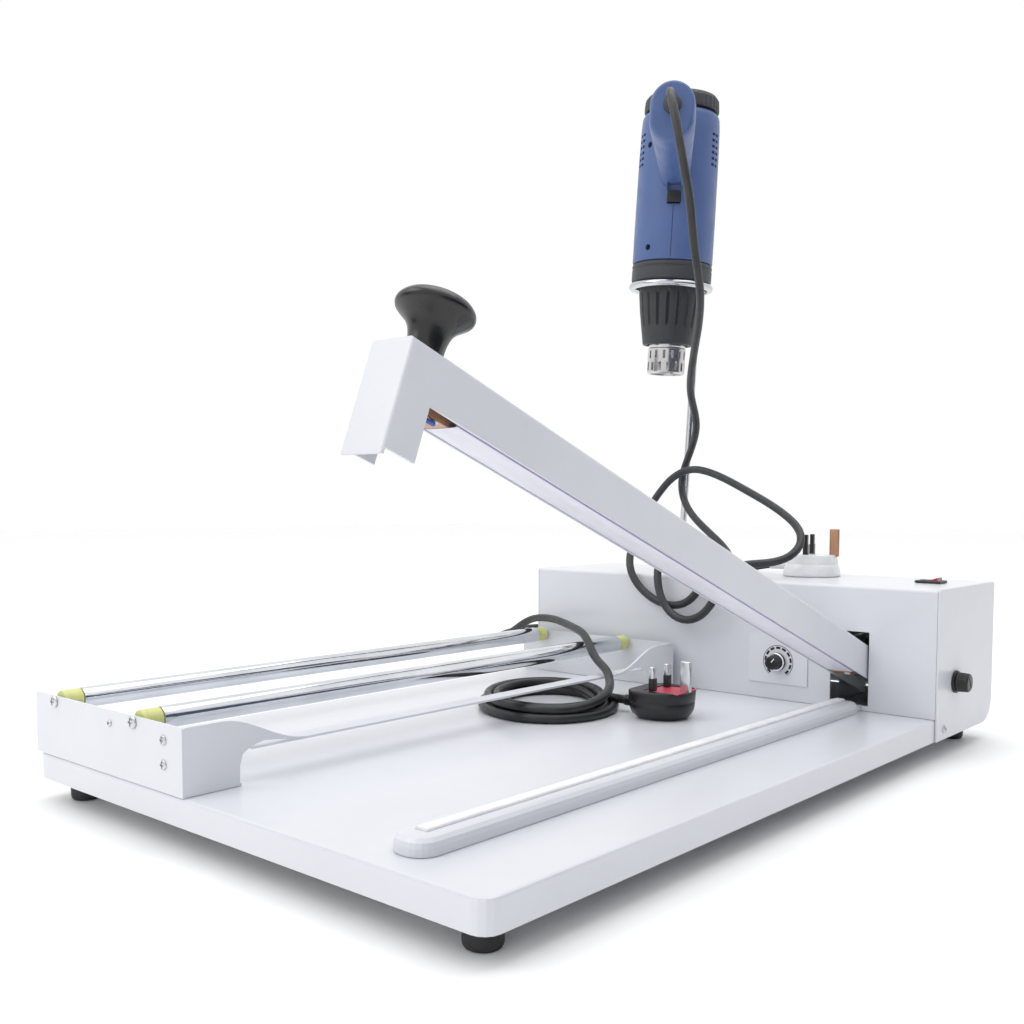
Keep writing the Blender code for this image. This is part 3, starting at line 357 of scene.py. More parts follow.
def tube_bm(points, radius, sides=14, into=None):
    """A round tube along points with a turning frame that doesn't twist, ends closed."""
    bm = bmesh.new()
    pts = [Vector(p) for p in points]
    tangent = [(pts[min(i + 1, len(pts) - 1)] - pts[max(i - 1, 0)]).normalized() for i in range(len(pts))]
    normal = tangent[0].orthogonal().normalized()
    rings = []
    for p, tg in zip(pts, tangent):
        normal = (normal - tg * normal.dot(tg)).normalized()
        other = tg.cross(normal)
        rings.append([bm.verts.new(p + radius * (math.cos(2 * math.pi * k / sides) * normal + math.sin(2 * math.pi * k / sides) * other)) for k in range(sides)])
    for a, b in zip(rings, rings[1:]):
        for i in range(sides):
            bm.faces.new((a[i], a[(i + 1) % sides], b[(i + 1) % sides], b[i]))
    bm.faces.new(rings[0][::-1])
    bm.faces.new(rings[-1])
    return merge(into, bm)


def solid(name, bm):
    bmesh.ops.recalc_face_normals(bm, faces=bm.faces)
    mesh = bpy.data.meshes.new(name)
    bm.to_mesh(mesh)
    bm.free()
    return link(bpy.data.objects.new(name, mesh))


def baked(obj):
    """The object with its modifiers applied, as a bmesh; the object is removed."""
    bpy.context.view_layer.update()
    graph = bpy.context.evaluated_depsgraph_get()
    mesh = bpy.data.meshes.new_from_object(obj.evaluated_get(graph))
    bpy.data.objects.remove(obj, do_unlink=True)
    bm = bmesh.new()
    bm.from_mesh(mesh)
    bpy.data.meshes.remove(mesh)
    return bm


def cut(obj, cutter_bm, operation="DIFFERENCE"):
    cutter = solid("cutter", cutter_bm)
    mod = obj.modifiers.new("cut", "BOOLEAN")
    mod.operation, mod.solver, mod.object = operation, "EXACT", cutter
    bm = baked(obj)
    bpy.data.objects.remove(cutter, do_unlink=True)
    return bm


def smooth_route(points, spacing, rounds):
    """Evenly spaced points on one smooth curve through the route's points, eased where it bends hard."""
    pts = [Vector(p) for p in points]
    ends = [2 * pts[0] - pts[1]] + pts + [2 * pts[-1] - pts[-2]]
    dense = []
    for a, b, c, d in zip(ends, ends[1:], ends[2:], ends[3:]):
        for i in range(16):
            s = i / 16
            dense.append(0.5 * (2 * b + (c - a) * s + (2 * a - 5 * b + 4 * c - d) * s * s + (3 * b - a - 3 * c + d) * s ** 3))
    dense.append(pts[-1])

    def even(line, step):
        run = [0.0]
        for p, q in zip(line, line[1:]):
            run.append(run[-1] + (q - p).length)
        count = max(2, round(run[-1] / step))
        out, j = [], 0
        for i in range(count + 1):
            want = run[-1] * i / count
            while j < len(run) - 2 and run[j + 1] < want:
                j += 1
            part = (want - run[j]) / max(1e-9, run[j + 1] - run[j])
            out.append(line[j].lerp(line[j + 1], part))
        return out
    line = even(dense, 4.0)
    for _ in range(rounds):
        line = line[:2] + [(p + 2 * q + r) / 4 for p, q, r in zip(line[1:], line[2:], line[3:])] + line[-2:]
    return even(line, spacing)


# ------------------------------------------------------------------ cords
tip = TURN.to_3x3() @ Vector((0, -132.0 - 0.3 - 22.0, 133))
lean3 = Matrix.Rotation(math.radians(LEAN), 3, "Y")
tip_dir = (lean3 @ (TURN.to_3x3() @ Vector((0, -1, 0)))).normalized()
start = Vector(RING) + lean3 @ tip + 0.3 * tip_dir
GUN_ROUTE = [tuple(start), tuple(start + 14 * tip_dir), tuple(start + 30 * tip_dir + Vector((2, 0, -10))), (-190, 428, 462), (-186, 432, 432), (-185, 440, 407), (-192, 458, 375), (-199, 480, 343), (-216, 506, 320), (-235, 530, 301), (-261, 565, 270), (-269.5, 592, 239), (-285, 605, 213), (-296, 607, 190), (-288, 598, 168), (-272, 590, 151), (-245, 579, 134), (-229, 571, 125.5), (-214, 560, 116.5), (-203, 545, 109), (-199, 528, 106.5), (-196.5, 512, 109), (-195.5, 498, 108), (-197, 488.5, 98), (-205, 488.5, 83), (-219, 491.2, 74), (-233, 491.8, 72), (-249, 492, 76), (-265, 492, 86), (-277, 493, 100), (-282, 498, 114), (-285, 509, 125), (-293, 526, 131), (-304, 547, 134), (-313, 565, 143), (-317, 579, 156), (-309, 587, 173), (-294, 588, 189), (-272, 589, 197), (-244, 588, 190), (-212, 584, 176), (-174, 576, 158), (-148, 567, 141), (-139, 552, 126), (-145, 537, 115), (-159, 523, 111.5), (-171, 509.5, 111), (-177, 495, 106), (-179, 485, 93), (-185, 482.5, 77), (-198, 483, 64.5), (-212, 483.5, 60.5), (-228, 484.5, 66), (-240, 486, 81), (-245, 489, 97), (-247.5, 494.5, 112), (-245, 506, 122.5), (-237, 520, 122), (-229, 534, 113), (-222, 546, 105.5), (-213, 557, 103), (-202, 567.5, 103.5), (-193, 573.4, 106), (-181.3, 576.3, 107.8)]
gun_line = smooth_route(GUN_ROUTE, 5.0, 10)
gun_cord = to_piece("gun_lead", tube_bm(gun_line, 3.5, 14), TO_LAYOUT, "lead", "frame", "cord_rubber", smooth=60)
gun_cord.parent = None
gun_cord.matrix_world = Matrix.Identity(4)
del gun_cord["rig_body"]
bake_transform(gun_cord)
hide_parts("gun_cord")

MAINS_LEAD = [(-417.3, 560.0, 33.0), (-424, 559.7, 33), (-436, 556, 32), (-445, 548, 31), (-450, 537, 30), (-451, 521, 28), (-446, 505, 27), (-434, 491.5, 27.5), (-420, 484, 31), (-405, 480, 38.5), (-390, 477.5, 47), (-374, 475, 52.5), (-350, 467, 54.5), (-328, 456, 54), (-304, 443, 52), (-283, 430, 49.5), (-267, 418, 43.5), (-255, 408, 36.5), (-243, 400, 31.5), (-233, 394, 28.8), (-224, 387.5, 25.5), (-216, 379, 21.6), (-209.5, 369.5, 18.8)]
COIL_X, COIL_Y, COIL_A, COIL_B = -252.0, 346.0, 46.0, 62.0
e_dir, d_dir = Vector((0.7466, 0.6652, 0)), Vector((0.6652, -0.7466, 0))
turns = [(3.6, 10.0), (-3.6, 10.2), (-6.9, 3.9), (0.0, 3.8), (6.9, 3.8)]
coil_pts = []
first, last = math.radians(24), 2 * math.pi * 5 - math.radians(38)
count = 96
for i in range(count + 1):
    phi = first + (last - first) * i / count
    k = phi / (2 * math.pi)
    n0 = min(4, int(k))
    n1 = min(4, n0 + 1)
    s = k - n0
    s = 0.0 if s < 0.72 else (s - 0.72) / 0.28
    s = s * s * (3 - 2 * s)
    off = turns[n0][0] * (1 - s) + turns[n1][0] * s
    z = turns[n0][1] * (1 - s) + turns[n1][1] * s
    wobble = 1.3 * math.sin(phi * 1.37 + 0.6) * math.sin(phi * 0.53)
    if k < 0.22:
        z += (18.2 - z) * max(0.0, 1 - (phi - first) / 0.95) ** 1.5
    centre = Vector((COIL_X, COIL_Y, z))
    coil_pts.append(centre + (COIL_A + off + wobble * 0.6) * math.cos(phi) * e_dir + (COIL_B + off + wobble) * math.sin(phi) * d_dir)
boot_tip = Vector((-161.5, 374.0, 9.3)) + Matrix.Rotation(math.radians(3.7), 3, "Z") @ Vector((-34.3, 0, 0))
out_dir = Matrix.Rotation(math.radians(3.7), 3, "Z") @ Vector((-1, 0, 0))
mains_points = MAINS_LEAD[:-1] + [tuple(p) for p in coil_pts] + [(-238, 400, 5.2), (-226, 391, 6.2), (-214.5, 380, 7.6), tuple(boot_tip + 9 * out_dir + Vector((0, 1.2, 0))), tuple(boot_tip)]
mains_line = smooth_route(mains_points, 5.0, 3)
mains_cord = to_piece("mains_lead", tube_bm(mains_line, 3.5, 14), TO_LAYOUT, "mains", "frame", "cord_rubber", ("mains_cord", "mains_coil"), smooth=60)

DONE = set()


def dressed(*args, replaces=(), **more):
    DONE.update(replaces)
    return to_piece(*args, replaces=replaces, **more)


DONE.update(("gun_cord", "mains_cord", "mains_coil"))
RX90, RX270 = Matrix.Rotation(math.radians(90), 4, "X"), Matrix.Rotation(math.radians(-90), 4, "X")
RY90 = Matrix.Rotation(math.radians(90), 4, "Y")


def at(x, y, z):
    return Matrix.Translation((x, y, z))


# ------------------------------------------------------------------ hot-air gun
barrel = lathe_bm(fillet([(0, 164.5), (27.5, 164.5), (34.0, 163.2), (36.6, 159), (37.3, 150), (38.0, 120), (38.3, 90), (38.55, 60), (38.6, 22.6), (37.6, 21.8), (0, 21.8)], 2.0, 4), 120)
hb = bmesh.new()
rings = []
stations = [(8, 108, 12.0, 24), (34, 111, 13.5, 27), (52, 115, 15.0, 25), (80, 119, 17.0, 24.2), (112, 126, 19.5, 25), (122, 127.6, 19.6, 25.5), (128, 128.5, 19.3, 25.3), (131, 128.9, 18.2, 24.2), (132, 129, 16.4, 22.4)]
fine = []
for a, b in zip(stations, stations[1:]):
    for i in range(4):
        fine.append(tuple(p + (q - p) * i / 4 for p, q in zip(a, b)))
fine.append(stations[-1])
for reach, rise, half_w, half_h in fine:
    ring_v = []
    for i in range(64):
        s, c = math.sin(2 * math.pi * i / 64), math.cos(2 * math.pi * i / 64)
        ring_v.append(hb.verts.new((half_w * c, -reach, rise + (half_h - half_w) * (1 if s > 1e-9 else -1 if s < -1e-9 else 0) + half_w * s)))
    rings.append(ring_v)
for a, b in zip(rings, rings[1:]):
    for i in range(64):
        hb.faces.new((a[i], a[(i + 1) % 64], b[(i + 1) % 64], b[i]))
hb.faces.new(rings[0][::-1])
hb.faces.new(rings[-1])
shell = cut(solid("barrel", barrel), hb, "UNION")
holes = None
inserts = None
for side in (-66, 66):
    for k in range(6):
        for step in (-5, 5):
            spin = Matrix.Rotation(math.radians(side + step), 4, "Z")
            holes = box_bm(-2.4, 2.4, -44, -35.0, 112 + 5.6 * k, 114.6 + 5.6 * k, 0.7, 2, holes, spin)
            inserts = box_bm(-2.2, 2.2, -35.6, -34.2, 112.2 + 5.6 * k, 114.4 + 5.6 * k, 0, 1, inserts, spin)
holes = box_bm(-6.4, 6.4, -60, -35.5, 72.5, 90.5, 0.5, 2, holes)
holes = box_bm(-0.35, 0.35, -45, -37.5, 24.0, 71.8, 0, 1, holes)
for a_deg, z in ((-44, 129.5), (-35, 33.5)):
    spin = Matrix.Rotation(math.radians(a_deg), 4, "Z")
    holes = merge(holes, lathe_bm([(0, -4), (2.9, -4), (2.9, 4), (0, 4)], 32, spin @ at(0, -39.0, z) @ RX90))
shell = cut(solid("shell", shell), holes)
assert len(shell.faces) > 2000, "the gun shell lost its mesh"
bmesh.ops.transform(shell, matrix=TURN, verts=shell.verts)
dressed("gun_shell", shell, TO_GUN, "blue", "gun", "blue_plastic", replaces=("gun_body",), smooth=28)
bmesh.ops.transform(inserts, matrix=TURN, verts=inserts.verts)
to_piece("gun_vent_shadow", inserts, TO_GUN, "dark", "gun", "black_plastic")


def screw_bm(radius, height, move, into=None, drive="cross"):
    """A pan-head screw with its base at z 0, cut for a cross or a single slot."""
    head = solid("head", lathe_bm(fillet([(0, height), (radius * 0.55, height * 0.96), (radius * 0.9, height * 0.62), (radius, height * 0.25), (radius, 0), (0, 0)], radius * 0.2, 3), 36))
    w = radius * 0.16
    tool = box_bm(-radius * 0.62, radius * 0.62, -w, w, height * 0.45, height * 2)
    head_bm = cut(head, tool)
    if drive == "cross":
        head_bm = cut(solid("head", head_bm), box_bm(-w, w, -radius * 0.62, radius * 0.62, height * 0.45, height * 2))
    bmesh.ops.transform(head_bm, matrix=move, verts=head_bm.verts)
    return merge(into, head_bm)


gs = None
for a_deg, z in ((-44, 129.5), (-35, 33.5)):
    gs = screw_bm(2.5, 1.3, TURN @ Matrix.Rotation(math.radians(a_deg), 4, "Z") @ at(0, -35.1, z) @ RX90, gs)
to_piece("gun_shell_screws", gs, TO_GUN, "black", "gun", "black_plastic")
cap = lathe_bm(fillet([(0, 181), (9, 181), (9.6, 179.8), (12.4, 179.8), (13, 181), (18, 181), (18.6, 179.8), (21.4, 179.8), (22, 181), (26, 180.9), (32.5, 179.2), (35.2, 175.5), (35.6, 170.0), (35.8, 166.2), (35.0, 164.8), (0, 164.8)], 0.6, 3), 216, ripple=lambda a, r, z: r - (0.8 * max(0.0, math.cos(a * 36)) if 166 < z < 177 and r > 30 else 0.0))
dressed("gun_rear_grille", cap, TO_GUN, "collar", "gun", "guard_plastic", replaces=("gun_rear_cap",))
collar = lathe_bm(fillet([(29.0, 21.4), (37.6, 21.4), (38.6, 19.8), (38.6, 17.4), (37.9, 17.0), (37.9, 15.8), (38.6, 15.4), (38.6, 5.4), (37.0, 3.55), (29.0, 3.55), (29.0, 21.4)], 0.7, 3), 144)
dressed("gun_collar_ring", collar, TO_GUN, "collar", "gun", "guard_plastic", replaces=("gun_collar",))


def fluted(angle, r, z):
    """18 rounded grooves, fading out towards the guard's ends."""
    if r < 22 or z > -5 or z < -40:
        return r
    fade = min(1.0, (-5 - z) / 3.0, (z + 40) / 3.0)
    near = abs(((angle / (2 * math.pi) * 18) % 1.0) - 0.5) * 2
    return r - 1.9 * fade * max(0.0, 1 - ((1 - near) / 0.30) ** 2)


guard_side = [(30.6 - 0.4 * s, 3.0 - 0.4 - 10.6 * s) for s in (0.0, 0.3, 0.55)] + [(30.35, -3.5), (30.3, -5.0), (30.25, -6.5), (30.2, -8), (29.8, -12), (29.2, -18), (28.6, -24), (27.7, -30), (26.8, -36.5), (26.55, -38.5), (26.35, -40.0), (25.4, -46), (24.5, -53), (24.2, -54.8), (23.4, -55.5)]
guard_profile = [(20.0, 3.0), (30.0, 3.0)] + sorted(guard_side, key=lambda p: -p[1]) + [(20.0, -55.5), (20.0, 3.0)]
dressed("gun_heat_guard", lathe_bm(guard_profile, 216, ripple=fluted), TO_GUN, "guard", "gun", "guard_plastic", replaces=("gun_guard",), smooth=40)
nozzle = solid("nozzle", lathe_bm(fillet([(16.6, 0.0), (18.2, 0.0), (18.2, -57.0), (17.8, -57.6), (17.8, -58.6), (18.2, -59.2), (18.2, -82.0), (17.2, -83.6), (15.4, -83.6), (15.4, -60.0), (6.0, -58.0), (0, -58.0), (0, -54), (6, -54), (16.6, -50.0), (16.6, 0.0)], 0.4, 3), 96))
slots = None
for i in range(14):
    slots = box_bm(-1.3, 1.3, -22, -14.5, -69.0, -61.0, 0.7, 3, slots, Matrix.Rotation(2 * math.pi * i / 14, 4, "Z"))
    slots = box_bm(-1.6, 1.6, -22, -14.5, -80.5, -72.0, 0.9, 3, slots, Matrix.Rotation(2 * math.pi * (i + 0.5) / 14, 4, "Z"))
dressed("gun_nozzle_tube", cut(nozzle, slots), TO_GUN, "steel", "gun", "nozzle_steel", replaces=("gun_nozzle",), smooth=30)
sw = box_bm(-5.9, 5.9, -43.4, -36.4, 73.2, 83.6, 0.7, 3)
for k in range(4):
    sw = box_bm(-5.2, 5.2, -43.8, -42.6, 75.0 + 1.9 * k, 75.9 + 1.9 * k, 0.25, 2, sw)
bmesh.ops.transform(sw, matrix=TURN, verts=sw.verts)
dressed("gun_switch_slider", sw, TO_GUN, "black", "gun_slide_switch", "black_plastic", replaces=("gun_switch",))
rib = [(0, 22.0), (4.0, 22.0), (4.2, 21.4)]
for k in range(7):
    z = 20.2 - 2.3 * k
    rib += [(4.6 + 0.27 * k - 0.55, z + 0.3), (4.6 + 0.27 * k, z - 0.3), (4.6 + 0.27 * k, z - 1.1), (4.6 + 0.27 * k - 0.5, z - 1.6)]
rib += [(7.4, 3.6), (7.6, 3.0), (7.6, 0.0), (0, 0.0)]
dressed("gun_cord_sleeve", lathe_bm(rib, 64, TURN @ at(0, -132.3, 133) @ RX90), TO_GUN, "collar", "gun", "black_plastic", replaces=("gun_cord_boot",), smooth=50)

# ------------------------------------------------------------------ stand
ring = bmesh.new()
loops = []
for i in range(128):
    a = 2 * math.pi * i / 128
    loops.append([ring.verts.new(((37.5 + 3.25 * math.cos(2 * math.pi * k / 24)) * math.cos(a), (37.5 + 3.25 * math.cos(2 * math.pi * k / 24)) * math.sin(a), 3.25 * math.sin(2 * math.pi * k / 24))) for k in range(24)])
for i in range(128):
    a, b = loops[i], loops[(i + 1) % 128]
    for k in range(24):
        ring.faces.new((a[k], b[k], b[(k + 1) % 24], a[(k + 1) % 24]))
weld = solid("ring", ring)
stem = lathe_bm(fillet([(0, 0.8), (3.25, 0.8), (3.25, -358.9), (2.6, -359.5), (0, -359.5)], 0.4, 3), 48, at(8.8, 36.4, 0))
dressed("stand_ring_and_rod", cut(weld, stem, "UNION"), TO_GUN, "rod_chrome", "frame", "chrome_steel", replaces=("stand_rod",), smooth=40)

# ------------------------------------------------------------------ rollers, bushes, axles
for tag, x in (("left", -376.0), ("right", -280.0)):
    spin = at(x, 246, 36.0) @ RX270
    body = tag + "_roller"
    dressed("film_roller_tube_" + tag, lathe_bm([(5.6, -229), (6.5, -229), (6.85, -228.85), (7.0, -228.4)] + [(7.0, z) for z in range(-220, 221, 20)] + [(7.0, 228.4), (6.85, 228.85), (6.5, 229), (5.6, 229), (5.6, -229)], 96, spin), TO_LAYOUT, "chrome", body, "chrome_steel", replaces=("film_roller_" + tag,))
    for end, y0, y1 in (("front", 4.0, 16.7), ("rear", 475.3, 487.5)):
        a, b = y0 - 246, y1 - 246
        profile = fillet([(2.4, a), (4.6, a), (6.2, a), (6.6, a + 0.5), (6.6, a + 2.6), (6.1, a + 3.0), (6.1, a + 3.8), (6.6, a + 4.2), (6.6, b - 0.4), (6.2, b), (2.4, b), (2.4, a)], 0.3, 2)
        dressed("roller_bush_body_%s_%s" % (tag, end), lathe_bm(profile, 72, spin), TO_LAYOUT, "bush", body, "bush_plastic", replaces=("roller_bush_%s_%s" % (tag, end),))
    axle = lathe_bm([(0, -247.0), (2.0, -247.0), (2.0, 246.5), (0, 246.5)], 40, spin)
    axle = screw_bm(3.9, 1.9, at(x, -0.3, 36.0) @ RX90, axle)
    axle = screw_bm(3.9, 1.9, at(x, 491.8, 36.0) @ RX270, axle)
    dressed("roller_axle_screw_" + tag, axle, TO_LAYOUT, "zinc", "frame", "zinc_steel", replaces=("roller_axle_" + tag,), smooth=30)

# ------------------------------------------------------------------ arm knob, tape, wire
top = 12.8
profile = [(0, 31.5), (7, 31.3), (13, 30.2), (17.0, 28.2), (19.2, 25.6), (19.7, 23.6), (19.0, 21.8), (16.2, 19.4), (13.0, 16.6), (10.9, 13.4), (9.7, 9.4), (9.2, 5.0), (9.2, 0.6), (8.7, 0), (0, 0)]
dressed("arm_knob_turned", lathe_bm(fillet([(r, top + h) for r, h in profile], 2.4, 5), 120, at(0, -551, 0)), TO_ARM, "knob", "arm", "black_plastic", replaces=("arm_knob",), smooth=60)
tape = bmesh.new()
rows = []
for i in range(95):
    y = -529.0 + 470.0 * i / 94
    rows.append([tape.verts.new((x, y, z + 0.03 * noise.noise(Vector((x * 0.1, y * 0.02, 3.0))))) for x, z in ((-10.5, -10.6), (-10.5, -12.6), (-9.8, -13.0), (-4.5, -13.05), (0.0, -13.1), (4.5, -13.05), (9.8, -13.0), (10.5, -12.6), (10.5, -10.6), (10.2, -10.6), (10.2, -12.4), (9.4, -12.75), (0, -12.78), (-9.4, -12.75), (-10.2, -12.4), (-10.2, -10.6))])
for a, b in zip(rows, rows[1:]):
    for k in range(16):
        tape.faces.new((a[k], a[(k + 1) % 16], b[(k + 1) % 16], b[k]))
tape.faces.new(rows[0])
tape.faces.new(rows[-1][::-1])
to_piece("ptfe_release_tape", tape, TO_ARM, "tape", "arm", "silicone", smooth=60)
edge = None
for x0, x1 in ((-11.3, -10.5), (10.5, 11.3)):
    edge = box_bm(x0, x1, -529.0, -59.0, -12.7, -11.2, 0.3, 3, edge)
to_piece("ptfe_tape_edge", edge, TO_ARM, "violet", "arm", "silicone", smooth=60)
wire = tube_bm(smooth_route([(5.2, -538.5, -15.1), (5.4, -543.0, -15.4), (5.0, -548.0, -16.4), (3.0, -553.0, -17.0), (-1.0, -557.5, -16.0), (-4.5, -561.5, -11.0), (-6.0, -564.0, -3.0), (-6.0, -564.5, 6.0)], 1.5, 2), 1.25, 12)
to_piece("ribbon_feed_wire", wire, TO_ARM, "wire", "arm", "blue_plastic")
cs = None
for y in (-537.5, -51.5):
    cs = screw_bm(2.6, 1.3, at(3.6, y, -13.7 if y < -500 else -12.9) @ Matrix.Rotation(math.pi, 4, "X"), cs)
to_piece("ribbon_clamp_screws", cs, TO_ARM, "zinc", "arm", "zinc_steel")

# ------------------------------------------------------------------ dial, knob, rocker, fuse
knob_turn = at(-131.0, 497.4, 32.1) @ RX90


def knurl(angle, r, z):
    return r - (0.28 if (2.6 < z < 11.3 and r > 5.0) else 0.0) * (0.5 + 0.5 * math.cos(angle * 30))


dressed("timer_knob_body", lathe_bm(fillet([(0, 11.8), (4.4, 12.0), (5.4, 11.2), (5.7, 10.4), (6.05, 3.2), (6.2, 2.7), (7.5, 2.3), (7.6, 0.3), (7.3, 0.0), (4.1, 0.0), (4.1, 1.6), (3.2, 1.6), (3.2, 10.2), (0, 10.2)], 0.5, 3), 180, knob_turn, ripple=knurl), TO_LAYOUT, "black", "knob", "black_plastic", replaces=("timer_knob",))
mark = box_bm(-0.45, 0.45, 1.0, 5.0, 11.72, 12.0, 0.1, 1, None, knob_turn @ Matrix.Rotation(math.radians(-40), 4, "Z"))
to_piece("timer_knob_pointer", mark, TO_LAYOUT, "pale_ink", "knob", "white_plastic")
skirt = lathe_bm(fillet([(6.25, 2.4), (7.5, 2.4), (7.5, 2.75), (7.1, 3.1), (6.25, 3.3), (6.25, 2.4)], 0.15, 3), 96, knob_turn)
to_piece("timer_knob_ring", skirt, TO_LAYOUT, "chrome", "knob", "chrome_steel")
ink = None
dial_face = at(-131.0, 498.86, 32.1) @ RX90
for k in range(11):
    middle = 225 - 27 * k
    for part in range(6):
        a = math.radians(middle - 7.5 + 3.0 * part)
        ink = box_bm(10.6, 12.4, -0.36, 0.36, 0.0, 0.12, 0, 1, ink, dial_face @ Matrix.Rotation(a, 4, "Z"))
for k in range(120):
    a = math.radians(232 - 285 * k / 120)
    ink = box_bm(13.2, 13.6, -0.34, 0.34, 0.0, 0.11, 0, 1, ink, dial_face @ Matrix.Rotation(a, 4, "Z"))
to_piece("dial_scale_print", ink, TO_LAYOUT, "ink", "frame", "black_plastic", smooth=10)
rx, ry, rz = -33.0, 570.5, 99.4
rock_tilt = at(rx, ry, rz) @ Matrix.Rotation(math.radians(-12), 4, "Y")
sym = None
sym = box_bm(4.3, 4.8, -1.6, 1.6, 2.12, 2.2, 0, 1, sym, rock_tilt)
to_piece("rocker_on_mark", sym, TO_LAYOUT, "pale_ink", "rocker", "white_plastic")
to_x = at(0, 537.0, 25.5) @ RY90
fuse = solid("fuse", lathe_bm(fillet([(0, 11.5), (6.0, 11.5), (7.2, 10.6), (7.5, 4.0), (7.6, 2.5), (3.4, 2.5), (3.4, -14.0), (0, -14.0)], 0.5, 3), 96, to_x, ripple=lambda a, r, z: r - (0.3 * (0.5 + 0.5 * math.cos(a * 24)) if 3 < z < 10.8 and r > 5 else 0)))
dressed("fuse_cap_body", cut(fuse, box_bm(-5.0, 5.0, -0.7, 0.7, 10.2, 14, 0, 1, None, to_x @ Matrix.Rotation(0.5, 4, "Z"))), TO_LAYOUT, "black", "fuse", "black_plastic", replaces=("fuse_cap",), smooth=30)

# ------------------------------------------------------------------ gland, feet
gl = [(0, 25.0), (4.1, 25.0), (4.6, 24.2)]
for k in range(7):
    z = 22.6 - 2.5 * k
    gl += [(4.75 + 0.22 * k - 0.5, z + 0.4), (4.75 + 0.22 * k, z - 0.2), (4.75 + 0.22 * k, z - 1.2), (4.75 + 0.22 * k - 0.45, z - 1.8)]
gl += [(6.4, 3.6), (8.5, 2.9), (8.8, 2.4), (8.8, 0.3), (5.8, 0.3), (5.8, -8.0), (0, -8.0)]
gland_piece = dressed("mains_gland_body", lathe_bm(gl, 64, at(-392.0, 560.0, 33.0) @ Matrix.Rotation(math.radians(-90), 4, "Y")), TO_LAYOUT, "black", "frame", "black_plastic", replaces=("mains_gland",), smooth=50)
for side, fx in (("left", -380.0), ("right", -23.5)):
    for depth, fy in (("front", 22.0), ("rear", 598.0)):
        prof = fillet([(0, -0.3), (9.7, -0.3), (10.0, -1.2), (9.75, -6.5), (9.4, -7.0), (9.75, -7.5), (9.5, -13.2), (8.4, -15.0), (4.2, -15.0), (3.6, -12.0), (0, -12.0)], 0.7, 3)
        dressed("foot_rubber_%s_%s" % (depth, side), lathe_bm(prof, 72, at(fx, fy, -16.5)), TO_LAYOUT, "foot", "frame", "foot_rubber", replaces=("foot_%s_%s" % (depth, side),))


